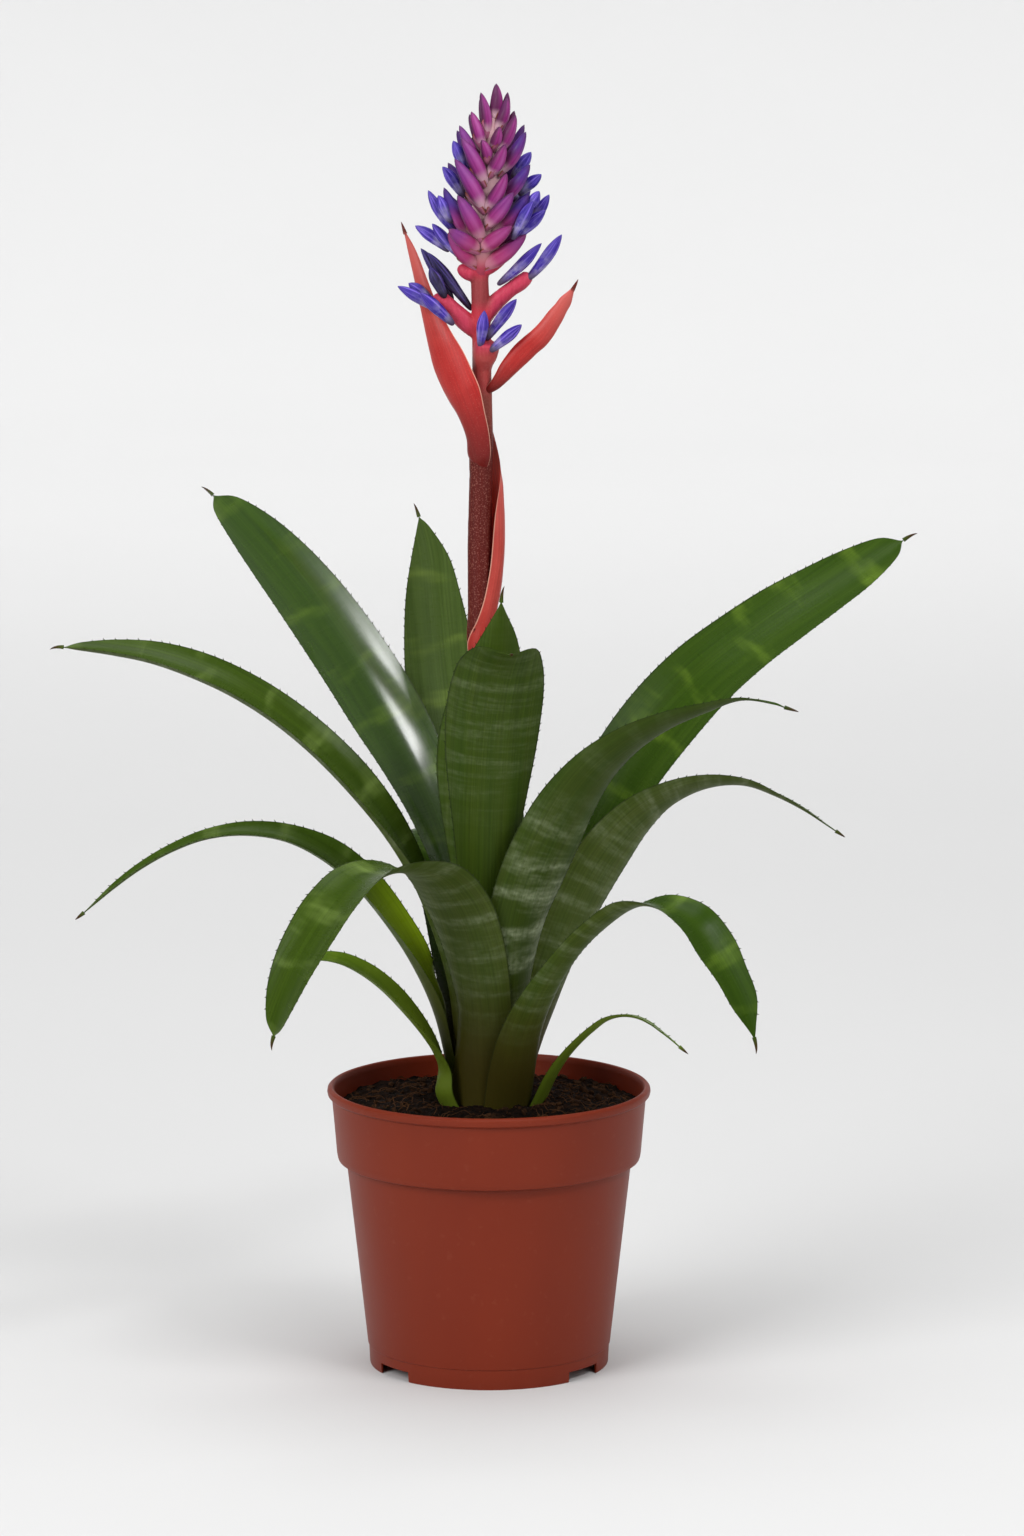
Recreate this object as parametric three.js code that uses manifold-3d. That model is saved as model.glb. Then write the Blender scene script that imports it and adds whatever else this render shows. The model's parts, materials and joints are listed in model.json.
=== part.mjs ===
// A potted bromeliad: a rosette of strap-shaped leaves in a nursery pot, with one flower stem.
// Units are millimetres and +Z is up. The origin is the centre of the pot's foot, on the ground,
// with -Y the front. Every leaf, bract and flower is a solid of its own, nested without touching.
import * as THREE from 'three';
import Module from 'manifold-3d';
import { mergeVertices } from 'three/addons/utils/BufferGeometryUtils.js';

const wasm = await Module();
wasm.setup();

// ---------------------------------------------------------------- driving dimensions
const GAP = 0.3; // clear space between two neighbouring solids
const POT_HEIGHT = 131.2;
const POT_RIM_RADIUS = 75;
const POT_WALL = 1.3;
const FOOT_HEIGHT = 5; // height of the notched ring that the pot stands on
const FOOT_RADIUS = 56;
const BODY_TOP_RADIUS = 66;
const BODY_TOP = 94.6; // where the tapered body meets the collar
const COLLAR_BOTTOM_RADIUS = 70.6;
const COLLAR_BOTTOM = 100;
const COLLAR_TOP_RADIUS = 72.9;
const BEAD_HEIGHT = 4.4; // rolled bead round the rim
const NOTCH_ANGLES = [52.5, 127.5, 232.5, 307.5]; // degrees round the foot, from the front
const NOTCH_WIDTH = 21;
const DRAIN_COUNT = 8;
const DRAIN_RADIUS = 3.5;
const DRAIN_CIRCLE = 40;
const POT_SIDES = 40;

const SOIL_EDGE = 121.5; // height of the soil at the wall
const SOIL_CROWN = 125; // height of the soil at the plant
const SOCKET_RADIUS = 28.5; // hollow in the soil that the leaf bases stand in
const SOCKET_FLOOR = 120;
const ROOT_BOTTOM = 112; // the stem's buried end
const ROOT_RADIUS = 5.4;
const STEM_TOP = 505; // where the flower head sits on the stem
const STEM_SIDES = 12;
const STEM_RINGS = 17;
const HEAD_LEAN = 0.075; // how far the head's axis leans to the right as it rises
const BUD_SIDES = 5;
const BUD_RINGS = 4;

const LEAF_RINGS = 15; // stations along a leaf
const LEAF_COLUMNS = 7; // points across a leaf
const TIP_SHARE = 0.985; // where along its midrib a leaf's last ring stands
const LEAF_THICK_BASE = 1.5;
const LEAF_THICK_BLADE = 1.0;
const NEST_CLEARANCE = 1.7; // distance between the middle surfaces of nested leaves
const NEST_REACH = 42; // how far from the plant's axis the leaves are nested
const SETTLE_PASSES = 60;
const SETTLE_STEP = 0.3;
const SETTLE_REACH = 14; // how far round a clash a leaf gives way

// ---------------------------------------------------------------- helpers
const rad = THREE.MathUtils.degToRad;
const vec = (p) => new THREE.Vector3(...p);
const UP = new THREE.Vector3(0, 0, 1);

// The horizontal direction at an angle round the plant: 0 is the front, 90 the right.
const heading = (degrees) => new THREE.Vector3(Math.sin(rad(degrees)), -Math.cos(rad(degrees)), 0);

// Reads a short list of values as a smooth function of t from 0 to 1.
function along(values, t) {
  const s = t * (values.length - 1);
  const i = Math.min(Math.floor(s), values.length - 2);
  const f = s - i;
  return THREE.MathUtils.lerp(values[i], values[i + 1], f * f * (3 - 2 * f));
}

function solidOf(geometry) {
  const bare = geometry.clone();
  bare.deleteAttribute('normal');
  bare.deleteAttribute('uv');
  const merged = mergeVertices(bare, 1e-4);
  return new wasm.Manifold(new wasm.Mesh({
    numProp: 3,
    vertProperties: merged.attributes.position.array,
    triVerts: new Uint32Array(merged.index.array),
  }));
}

function geometryOf(solid) {
  const { vertProperties, triVerts } = solid.getMesh();
  const geometry = new THREE.BufferGeometry();
  geometry.setAttribute('position', new THREE.BufferAttribute(vertProperties, 3));
  geometry.setIndex(new THREE.BufferAttribute(triVerts, 1));
  geometry.computeVertexNormals();
  return geometry;
}

// Skins a stack of closed rings. The last ring closes on the end point. The first closes on the start point,
// or, for a thin crescent, on strips from its outer face to its inner one.
function skin(rings, start, end) {
  const count = rings[0].length;
  const points = [...rings.flat(), end];
  if (start) points.push(start);
  const apex = rings.length * count;
  const last = apex - count;
  const faces = [];
  for (let j = 0; j < count; j++) {
    const n = (j + 1) % count;
    for (let a = 0; a < last; a += count) {
      const b = a + count;
      faces.push(a + j, a + n, b + n, a + j, b + n, b + j);
    }
    faces.push(last + j, last + n, apex);
    if (start) faces.push(apex + 1, n, j);
  }
  for (let j = 0; !start && j < count / 2; j++) {
    const [a, b] = [(count - j) % count, count - j - 1];
    if (j > 0) faces.push(j + 1, j, a);
    if (b > j + 1) faces.push(j + 1, a, b);
  }
  const geometry = new THREE.BufferGeometry().setFromPoints(points);
  geometry.setIndex(faces);
  geometry.computeVertexNormals();
  return geometry;
}

// A stem or bud: round sections of the given radii along a curve, closed at both ends.
function rod(points, radii, sides, rings) {
  const curve = new THREE.CatmullRomCurve3(points.map(vec), false, 'centripetal');
  const sections = [];
  for (let k = 0; k < rings; k++) {
    const t = k / (rings - 1);
    const centre = curve.getPointAt(t);
    const tangent = curve.getTangentAt(t);
    const side = new THREE.Vector3(1, 0, 0).addScaledVector(tangent, -tangent.x).normalize();
    const other = new THREE.Vector3().crossVectors(tangent, side);
    const radius = along(radii, t);
    sections.push(Array.from({ length: sides }, (_, j) => {
      const a = (2 * Math.PI * j) / sides;
      return centre.clone().addScaledVector(side, radius * Math.cos(a)).addScaledVector(other,
        radius * Math.sin(a));
    }));
  }
  return skin(sections, curve.getPointAt(0), curve.getPointAt(1));
}

// ---------------------------------------------------------------- pot and soil
function potGeometry() {
  const slope = (BODY_TOP_RADIUS - FOOT_RADIUS) / (BODY_TOP - FOOT_HEIGHT);
  const bead = POT_HEIGHT - BEAD_HEIGHT;
  const outline = [
    [0, FOOT_HEIGHT], [FOOT_RADIUS - POT_WALL, FOOT_HEIGHT], [FOOT_RADIUS - POT_WALL, 0], [FOOT_RADIUS, 0],
    [FOOT_RADIUS, FOOT_HEIGHT], [BODY_TOP_RADIUS, BODY_TOP], [COLLAR_BOTTOM_RADIUS - 1, BODY_TOP + 2.4],
    [COLLAR_BOTTOM_RADIUS, COLLAR_BOTTOM], [COLLAR_TOP_RADIUS, bead], [POT_RIM_RADIUS - 0.6, bead + 0.8],
    [POT_RIM_RADIUS, POT_HEIGHT - 2], [POT_RIM_RADIUS - 0.7, POT_HEIGHT - 0.4],
      [POT_RIM_RADIUS - 1.8, POT_HEIGHT],
    [COLLAR_TOP_RADIUS - POT_WALL + 0.6, POT_HEIGHT - 0.6], [COLLAR_TOP_RADIUS - POT_WALL, bead],
    [COLLAR_BOTTOM_RADIUS - POT_WALL, COLLAR_BOTTOM + 0.8],
      [BODY_TOP_RADIUS - POT_WALL, BODY_TOP + POT_WALL],
    [FOOT_RADIUS + POT_WALL * (slope - 1), FOOT_HEIGHT + POT_WALL], [0, FOOT_HEIGHT + POT_WALL],
  ];
  const lathe = new THREE.LatheGeometry(outline.map(([r, z]) => new THREE.Vector2(r, z)), POT_SIDES);
  lathe.rotateX(Math.PI / 2);
  let pot = solidOf(lathe);
  for (const angle of NOTCH_ANGLES) {
    const centre = heading(angle).multiplyScalar(FOOT_RADIUS);
    const notch = new THREE.BoxGeometry(NOTCH_WIDTH, 8, 2 * FOOT_HEIGHT);
    notch.rotateZ(rad(angle)).translate(centre.x, centre.y, 0);
    pot = pot.subtract(solidOf(notch));
  }
  for (let i = 0; i < DRAIN_COUNT; i++) {
    const centre = heading((360 * (i + 0.5)) / DRAIN_COUNT).multiplyScalar(DRAIN_CIRCLE);
    const drain = new THREE.CylinderGeometry(DRAIN_RADIUS, DRAIN_RADIUS, 10, 10);
    drain.rotateX(Math.PI / 2).translate(centre.x, centre.y, FOOT_HEIGHT);
    pot = pot.subtract(solidOf(drain));
  }
  return geometryOf(pot);
}

function soilGeometry() {
  const inset = POT_WALL + GAP + 0.1;
  const floor = FOOT_HEIGHT + POT_WALL + GAP;
  const outline = [
    [0, floor], [FOOT_RADIUS - inset, floor], [BODY_TOP_RADIUS - inset, BODY_TOP + 1],
    [COLLAR_BOTTOM_RADIUS - inset, COLLAR_BOTTOM + 2], [COLLAR_TOP_RADIUS - inset - 0.4, SOIL_EDGE],
    [0.62 * POT_RIM_RADIUS, SOIL_EDGE + 1.6], [SOCKET_RADIUS + 4, SOIL_CROWN], [SOCKET_RADIUS, SOIL_CROWN],
    [SOCKET_RADIUS, SOCKET_FLOOR], [ROOT_RADIUS + GAP + 0.1, SOCKET_FLOOR],
      [ROOT_RADIUS + GAP + 0.1, ROOT_BOTTOM - GAP],
    [0, ROOT_BOTTOM - GAP],
  ];
  const lathe = new THREE.LatheGeometry(outline.map(([r, z]) => new THREE.Vector2(r, z)), 30);
  return lathe.rotateX(Math.PI / 2);
}

// ---------------------------------------------------------------- leaves
// spine: the midrib, from the sheath at the stem to the tip.
// facing: the heading that the leaf's outer face looks to at its base.
// roll: turn about the midrib in degrees, in even steps from base to tip.
// sheath and blade: half widths at the base and at the widest place, which is at the share `widest`.
// wrap and cup: how many degrees of arc the section bends through at the base and along the blade.
// neck is the share where the sheath starts to widen; point is 0.5 for a blunt end and 1 for a tapering one.
// They are listed from the innermost leaf to the outermost.
const leaves = [
  { name: 'leaf_front_inner', facing: 8, roll: [0, 0, 0], sheath: 11, blade: 24, neck: 0.3, widest: 0.68,
    point: 1, wrap: 150, cup: 90,
    spine: [[0, -8, 122], [-2, -12, 193], [-2, -20, 255], [0, -28, 307], [5, -36, 342], [6, -42, 366]] },
  { name: 'leaf_left_upper', facing: 215, roll: [0, 0, 0], sheath: 12, blade: 22.5, neck: 0.3,
    widest: 0.62, wrap: 150, cup: 50,
    spine: [[-6, 6, 122], [-14, 10, 215], [-28, 20, 260], [-52, 32, 303], [-84, 46, 349],
      [-111, 56, 381], [-132, 64, 402]] },
  { name: 'leaf_back_upright', facing: 195, roll: [0, 0, 0], sheath: 11, blade: 18.5, widest: 0.66,
    point: 0.75, wrap: 150, cup: 60,
    spine: [[-2, 9, 122], [-8, 28, 199], [-16, 44, 259], [-23, 56, 309], [-27, 64, 350],
      [-29, 68, 373], [-34, 70, 392]] },
  { name: 'leaf_right_upper', facing: 145, roll: [0, 0, 0], sheath: 14, blade: 24, widest: 0.62,
    wrap: 150, cup: 50,
    spine: [[8, 8, 122], [19, 16, 187], [41, 22, 232], [67, 30, 276], [99, 38, 313], [135, 46, 340],
      [168, 52, 361], [197, 58, 381]] },
  { name: 'leaf_front_outer', facing: 2, roll: [0, 0, 0], sheath: 14, blade: 23, neck: 0.45, widest: 0.8,
    wrap: 150, cup: 70,
    spine: [[0, -12, 122], [0, -22, 176], [-1, -34, 224], [0, -46, 273], [3, -60, 314], [8, -76, 341],
      [11, -88, 345]] },
  { name: 'leaf_back_middle', facing: 180, roll: [0, 0, 0], sheath: 14, blade: 16, widest: 0.6,
    wrap: 150, cup: 50,
    spine: [[2, 13, 122], [2, 34, 195], [1, 60, 245], [0, 86, 262], [-2, 110, 252]] },
  { name: 'leaf_left_middle', facing: -75, roll: [0, -15, -30, -25, -10], sheath: 13, blade: 17,
    neck: 0.2, widest: 0.5, wrap: 160, cup: 90,
    spine: [[-12, -1, 122], [-19, -3, 182], [-40, -6, 239], [-71, -4, 280], [-109, 0, 310.5],
      [-150, 6, 328], [-200, 12, 335]] },
  { name: 'leaf_right_middle', facing: 70, roll: [0, -30, -40, -20, -10], sheath: 16, blade: 16,
    widest: 0.45, point: 1, wrap: 140, cup: 60,
    spine: [[15, -2, 122], [29, 2, 178], [46, 4, 222], [66, 6, 251], [88, 8, 266], [114, 10, 271],
      [139, 12, 262], [164, 14, 246]] },
  { name: 'leaf_right_twisted', facing: 48, roll: [0, -15, -30, -20, 0], sheath: 14, blade: 17,
    widest: 0.45, point: 1, wrap: 150, cup: 60,
    spine: [[10, -12, 122], [12, -26, 176], [15, -38, 214], [27, -48, 251], [45, -56, 283],
      [68, -60, 303], [95, -62, 315], [117, -62, 321],
      [137, -60, 316]] },
  { name: 'leaf_back_left', facing: -140, roll: [0, 0, 0], sheath: 13, blade: 12, widest: 0.55,
    wrap: 140, cup: 50,
    spine: [[-10, 12, 122], [-20, 40, 190], [-30, 64, 228], [-38, 88, 236], [-44, 108, 225]] },
  { name: 'leaf_back_right', facing: 140, roll: [0, 0, 0], sheath: 13, blade: 12, widest: 0.55,
    wrap: 140, cup: 50,
    spine: [[11, 13, 122], [24, 40, 180], [36, 64, 212], [48, 88, 218], [56, 106, 205]] },
  { name: 'leaf_left_arching', facing: -80, roll: [0, -20, -30, -25, -10, 0], widths: [14, 14, 13.5, 13,
    13, 12, 8, 5.5, 4.6, 3.6, 0.4],
    wrap: 150, cup: 90, spine: [[-15, 1, 122], [-25, 6, 165], [-43, 10, 201], [-65, 14, 228],
      [-90, 18, 243], [-116, 20, 246.5], [-137, 22, 242],
      [-162, 24, 229], [-192, 26, 205]] },
  { name: 'leaf_front_left', facing: -28, roll: [0, 0, 0, 20, 30], sheath: 16, blade: 21, widest: 0.6,
    wrap: 130, cup: 60,
    spine: [[-5, -18, 122], [-5, -26, 167], [-11, -38, 207], [-24, -52, 235], [-40, -66, 243],
      [-57, -80, 240], [-73, -92, 222],
      [-86, -98, 200], [-97, -100, 171]] },
  { name: 'leaf_front_right', facing: 30, roll: [0, 0, 0, 0], widths: [15, 15, 12, 9, 8, 9, 11, 11.5,
    8.5, 0.4], wrap: 120, cup: 60,
    spine: [[12, -18, 122], [17, -34, 160], [30, -50, 192], [48, -64, 216], [69, -76, 230],
      [89, -86, 226], [103, -92, 209],
      [114, -96, 188], [120, -98, 170]] },
  { name: 'leaf_left_low', facing: -75, roll: [0, -20, -25], sheath: 8, blade: 11, widest: 0.5, point: 1,
    wrap: 80, cup: 70,
    spine: [[-16, -5, 122], [-24, -10, 147], [-38, -14, 168], [-55, -15, 185], [-71, -14, 193],
      [-91, -14, 193]] },
  { name: 'leaf_right_low', facing: 70, roll: [0, -10, -10], sheath: 7, blade: 5.5, widest: 0.4,
    point: 1, wrap: 60, cup: 50,
    spine: [[23, -8, 122], [33, -16, 144], [45, -22, 159], [57, -25, 168], [69, -27, 168],
      [79, -28, 162], [90, -29, 153]] },
];

// The coloured bracts on the flower stem are made like leaves, with their own widths along the length.
const bracts = [
  { name: 'bract_sheath', facing: 80, roll: [0, 0, 0], widths: [15, 14, 11, 9, 7, 4, 2, 0.4], wrap: 250,
    cup: 130,
    color: '#c8423c', thick: [0.9, 0.9],
    spine: [[1.5, -1, 318], [2.5, -1, 335], [4.6, -1, 355], [6.6, -1, 380], [6.2, -1, 400],
      [4.4, -1, 420], [2.6, -1, 436]] },
  { name: 'bract_left', facing: -38, roll: [0, 0, 0], widths: [6.5, 9, 11, 10, 6.5, 4.4, 3, 0.4],
    wrap: 120, cup: 60,
    color: '#c8423c', thick: [0.9, 0.9],
    spine: [[-5, -7, 424], [-7.5, -8.5, 435], [-12, -9, 449], [-16, -7, 459], [-22, -2, 474],
      [-27.5, 4, 490],
      [-34.5, 11, 514], [-39, 14, 527.5]] },
  { name: 'bract_right', facing: 60, roll: [-45, -60, -65, -50], widths: [3, 4.8, 5.6, 5.4, 4.6, 3.4, 0.4],
    wrap: 110, cup: 90,
    color: '#c8423c', thick: [0.9, 0.9],
    spine: [[2.2, -4.6, 455.5], [5.5, -6, 459], [10, -7, 465.2], [16.5, -8, 472.5], [23.5, -9, 479],
      [30, -9, 488], [35.5, -9, 496],
      [39.5, -9, 503]] },
];

// Half width of a leaf at the share t: a sheath that swells into the blade, a blunt end, a spine at the tip.
function halfWidth({ sheath, blade, neck = 0.1, widest, point = 0.5, widths }, t) {
  if (widths) return along(widths, t);
  if (t < widest) return THREE.MathUtils.lerp(sheath, blade, THREE.MathUtils.smoothstep(t, neck, widest));
  const s = Math.min(1, (t - widest) / (0.96 - 0.96 * widest));
  return 0.4 + (blade - 0.4) * (1 - s ** (3.6 - 2 * point)) ** point;
}

// The middle surface of a leaf, as rings of points from one edge to the other.
function middleSurface(leaf) {
  const curve = new THREE.CatmullRomCurve3(leaf.spine.map(vec), false, 'centripetal');
  const across = new THREE.Vector3().crossVectors(UP, heading(leaf.facing));
  return Array.from({ length: LEAF_RINGS }, (_, k) => {
    const t = 1 - (1 - k / (LEAF_RINGS - 1)) ** 1.25;
    const centre = curve.getPointAt(Math.min(t, TIP_SHARE));
    const tangent = curve.getTangentAt(t);
    const side = across.clone().addScaledVector(tangent, -across.dot(tangent)).normalize();
    side.applyAxisAngle(tangent, rad(along(leaf.roll, t)));
    const inward = new THREE.Vector3().crossVectors(tangent, side);
    const half = halfWidth(leaf, t);
    const bend = rad(THREE.MathUtils.lerp(leaf.wrap, leaf.cup, THREE.MathUtils.smoothstep(t, 0, 0.45)));
    const radius = (2 * half) / bend;
    return Array.from({ length: LEAF_COLUMNS }, (_, j) => {
      const angle = bend * (j / (LEAF_COLUMNS - 1) - 0.5);
      return centre.clone().addScaledVector(side, radius * Math.sin(angle))
        .addScaledVector(inward, radius * (1 - Math.cos(angle)));
    });
  });
}

// Keeps a leaf's sheath outside the leaves that it wraps: a point closer to the plant's axis than they
// reach at its height and heading moves straight out from the axis.
const ray = new THREE.Ray();
const nested = [];
function nestOutside(surface) {
  const hit = new THREE.Vector3();
  for (const point of surface.flat()) {
    const distance = Math.hypot(point.x, point.y);
    if (distance > NEST_REACH) continue;
    const out = new THREE.Vector3(point.x, point.y, 0).normalize();
    ray.set(new THREE.Vector3(0, 0, point.z), out);
    let reach = 0;
    for (const [a, b, c] of nested) {
      const far = ray.intersectTriangle(a, b, c, false, hit) ? Math.hypot(hit.x, hit.y) : 0;
      if (far < NEST_REACH) reach = Math.max(reach, far);
    }
    point.addScaledVector(out, Math.max(0, reach + NEST_CLEARANCE - distance));
  }
  for (let k = 0; k < surface.length - 1; k++) {
    for (let j = 0; j < LEAF_COLUMNS - 1; j++) {
      const [a, b, c, d] = [surface[k][j], surface[k][j + 1], surface[k + 1][j + 1], surface[k + 1][j]];
      nested.push([a, b, c], [a, c, d]);
    }
  }
}

function nest(geometry) {
  const corner = (i) => new THREE.Vector3().fromBufferAttribute(geometry.attributes.position,
    geometry.index.getX(i));
  for (let i = 0; i < geometry.index.count; i += 3) nested.push([corner(i), corner(i + 1), corner(i + 2)]);
}

// Gives the middle surface its thickness: full at the midrib and none at the edges.
function bladeGeometry(surface, thickBase, thickBlade) {
  const last = surface.length - 1;
  const rings = surface.map((row, k) => {
    const t = k / last;
    const thick = THREE.MathUtils.lerp(thickBase, thickBlade, Math.min(1, 2 * t)) * (1 - 0.5 * t ** 4);
    const normals = row.map((_, j) => {
      const acrossLine = new THREE.Vector3().subVectors(row[Math.min(j + 1, row.length - 1)],
        row[Math.max(j - 1, 0)]);
      const alongLine = new THREE.Vector3().subVectors(surface[Math.min(k + 1, last)][j],
        surface[Math.max(k - 1, 0)][j]);
      return new THREE.Vector3().crossVectors(alongLine, acrossLine).normalize();
    });
    const share = (j) => Math.sqrt(1 - (2 * j / (row.length - 1) - 1) ** 2);
    const face = (sign) => row.map((p, j) => p.clone().addScaledVector(normals[j],
      sign * share(j) * thick / 2));
    return [...face(-1), ...face(1).slice(1, -1).reverse()];
  });
  const middle = (row) => row[(row.length - 1) / 2].clone();
  const tip = middle(surface[last]).multiplyScalar(2).sub(middle(surface[last - 1]));
  const end = middle(surface[last]).lerp(tip, 0.5);
  return skin(rings, null, end);
}

// Moves the middle surface of a leaf away from the plant's axis, little by little, where the leaf would come
// closer than the gap to a solid that is already in place.
function settle(surface, thick, placed) {
  const roomy = thick.map((t) => t + 2 * GAP);
  for (let pass = 0; pass < SETTLE_PASSES; pass++) {
    const probe = solidOf(bladeGeometry(surface, ...roomy));
    const clashes = placed.flatMap((other) => probe.intersect(other).decompose())
      .filter((c) => c.volume() > 1e-3);
    if (clashes.length === 0) return;
    for (const clash of clashes) {
      const { min, max } = clash.boundingBox();
      const box = new THREE.Box3(vec(min), vec(max));
      for (const point of surface.flat()) {
        const share = Math.max(0, 1 - box.distanceToPoint(point) / SETTLE_REACH);
        const out = new THREE.Vector3(point.x, point.y, 0).normalize();
        point.addScaledVector(out, SETTLE_STEP * share);
      }
    }
  }
  throw new Error('a leaf finds no room');
}

// ---------------------------------------------------------------- flower stem and head
// The stem is one growth with its two side arms and the cup at the front.
const stemLine = [[0, 0, ROOT_BOTTOM], [0, 0, 171], [-3, 0, 312], [-4, 0, 358], [-4, 0, 395], [-3, 0, 427],
  [-3, 0, 450], [-3, 0, 472], [-4, 0, STEM_TOP]];
const stemRadii = [5.4, 5.4, 5.4, 5.4, 5.4, 5.3, 5.2, 5, 4.1, 3.7];

function stemGeometry() {
  const parts = [
    rod(stemLine, stemRadii, STEM_SIDES, STEM_RINGS),
    rod([[-3, 0, 479], [-10, 0, 485], [-17, -1, 492], [-22, -1, 497]], [3, 4.2, 3.6, 2.6], 8, 6),
    rod([[-3, 0, 485], [3, 0, 494], [10, 0, 500], [18, 0, 506]], [3, 3.6, 3.2, 2.7], 8, 6),
    rod([[-3, 0, 461], [-2.6, -1, 466], [-1.4, -3, 471], [-0.4, -4, 476]], [3, 4.4, 5.4, 5.6], 8, 6),
  ];
  return geometryOf(wasm.Manifold.union(parts.map(solidOf)));
}

// Buds that face the front: base and tip as offsets from the head's leaning axis (across, toward the
// front, up from the foot), and radius.
const headBuds = [
  [[0.4, 0, 71.3], [0.6, 0, 85.3], 3], [[-2, 1.5, 63.6], [-5.8, 1, 82.4], 2.6], [[2.4, 1.5, 66.5],
    [5.8, 1, 80.3], 2.8],
  [[-3.2, 3, 58.8], [-9.3, 3, 74.2], 2.6], [[0.6, 3.5, 58.3], [3.4, 6.5, 68.1], 2.6], [[3, 3, 56.9],
    [10, 3.5, 72.5], 3],
  [[-0.2, 4, 52.5], [-3.7, 7.5, 62.3], 2.6], [[-3.5, 2.5, 49.1], [-13.9, 3, 67.7], 2.8],
  [[-0.7, 4, 42.4], [-12.5, 8, 62.3], 3.4], [[4, 2.5, 47.2], [14.8, 4.5, 65], 3.2], [[0.4, 4.5, 46.7],
    [6.3, 8.5, 60], 3.2],
  [[-0.6, 4.5, 35.7], [-14.6, 7.5, 52.7], 3.6], [[4, 2.5, 33.7], [17.6, 5.5, 50.4], 3.3],
    [[0.8, 5, 36.1], [7.8, 10, 46.9], 3.2],
  [[-0.2, 4.5, 17.3], [-12.3, 11, 36.8], 3.8], [[-4, 2, 17.3], [-18.5, 5, 39.6], 3.4],
    [[0.4, 5, 23.6], [11.3, 11, 38.5], 3.6],
  [[3.5, 3, 20.2], [17.9, 6.5, 36.8], 3.6], [[-1.6, 4, 12.9], [-15.1, 10, 22.2], 3.8],
    [[-0.5, 4, 13.5], [11.6, 10, 23.7], 3.6],
  [[-2, 2, 5.3], [-15.2, 6, 19.9], 3.6], [[1, 2, 4.8], [18, 5, 19], 3.8],
];
const headFoot = new THREE.Vector3(-3.6, 0, STEM_TOP + GAP);
const budPoint = ([across, front, up], turn) =>
  new THREE.Vector3(HEAD_LEAN * up + across * turn, -front * turn, up).add(headFoot);

function headGeometry() {
  const core = [[0, 0, 0], [0, 0, 20], [0, 0, 48], [0, 0, 75]].map((p) => budPoint(p, 1).toArray());
  const parts = [rod(core, [3, 5.5, 6, 5.5, 4.5, 1.5], 8, 7)];
  for (const turn of [1, -1]) {
    for (const [base, tip, radius] of turn > 0 ? headBuds : headBuds.slice(1)) {
      parts.push(spindle(budPoint(base, turn), budPoint(tip, turn), budShape, radius));
    }
  }
  return geometryOf(wasm.Manifold.union(parts.map(solidOf)));
}

const budShape = [0.55, 1, 1, 0.62, 0.06];
const flowerShape = [0.5, 0.8, 1, 0.9, 0.1];

function spindle(base, tip, shape, radius) {
  const line = [base, base.clone().lerp(tip, 0.5), tip].map((p) => p.toArray());
  return rod(line, shape.map((r) => r * radius), BUD_SIDES, BUD_RINGS);
}

// Open flowers: name, base, tip and radius.
const flowers = [
  ['flower_right_arm_inner', [7, -1, 503.5], [24, -3, 521.5], 2.8],
    ['flower_right_arm_outer', [18, 0, 506], [33.5, -2, 525], 2.8],
  ['flower_left_arm_low', [-19, -1, 490], [-41.4, -2, 501.5], 2.4],
    ['flower_left_arm_high', [-18, 3, 492], [-36.5, 3, 502.5], 2.3],
  ['flower_left_arm_front', [-18, -7, 486.5], [-30.7, -9, 499.5], 2.5],
    ['flower_left_dark_back', [-18, 4, 496.5], [-30.7, 6, 518.5], 2.6],
  ['flower_left_dark_front', [-20, -3, 499.5], [-26.5, -5, 510.5], 2.3],
    ['flower_left_dark_inner', [-10, 2, 492], [-27.4, 0, 517], 2.2],
  ['flower_front_left', [-2.3, -8, 474.5], [-1.9, -11, 491.5], 2.8],
    ['flower_front_middle', [1.5, -5, 479], [12.6, -8, 496.5], 2.6],
  ['flower_front_right', [1.5, -9, 475], [15.3, -12, 485], 2.6],
  ['flower_head_left_1', [-9, -2, 554.5], [-16, -4, 567.5], 2.6],
    ['flower_head_left_2', [-13, -1, 543.5], [-20.6, -3, 556], 2.6],
  ['flower_head_left_3', [-15, 0, 528.5], [-27.4, -1, 545], 2.7],
    ['flower_head_left_4', [-14, -5, 529.5], [-22.8, -7, 543], 2.4],
  ['flower_head_left_5', [-11.6, -1, 513], [-25.6, -2, 530], 2.7],
    ['flower_head_left_6', [-15, 3, 517], [-33.5, 4, 528.5], 2.5],
  ['flower_head_right_1', [12, 0, 552.5], [19.3, -2, 562.5], 2.4],
    ['flower_head_right_2', [15.5, -1, 544.5], [24, -3, 552.5], 2.3],
  ['flower_head_right_3', [14.4, -5, 535.5], [23.2, -7, 545], 2.5],
    ['flower_head_right_4', [16.7, 0, 530], [27.8, -1, 543], 2.5],
  ['flower_head_right_5', [13.5, -4, 525.5], [26, -5, 536.5], 2.5],
    ['flower_head_right_6', [11, -10, 526.5], [20.5, -13, 541], 2.7],
  ['flower_head_back_1', [2, 12, 526.5], [8, 22, 539], 2.6], ['flower_head_back_2', [-8, 12, 520.5],
    [-16, 21, 532], 2.6],
  ['flower_head_back_3', [9, 10, 538], [16, 18, 549.5], 2.5],
];

// A flower starts on its line from base to tip at the first place that is clear of what it grows from.
function flowerSolid(base, tip, radius, neighbours) {
  for (let share = 0; share < 0.7; share += 0.04) {
    const start = base.clone().lerp(tip, share);
    const solid = solidOf(spindle(start, tip, flowerShape, radius));
    if (neighbours.every((other) => solid.minGap(other, GAP) >= GAP)) return solid;
  }
  throw new Error('no room for a flower');
}

// ---------------------------------------------------------------- assembly
const plant = new THREE.Group();

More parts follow.
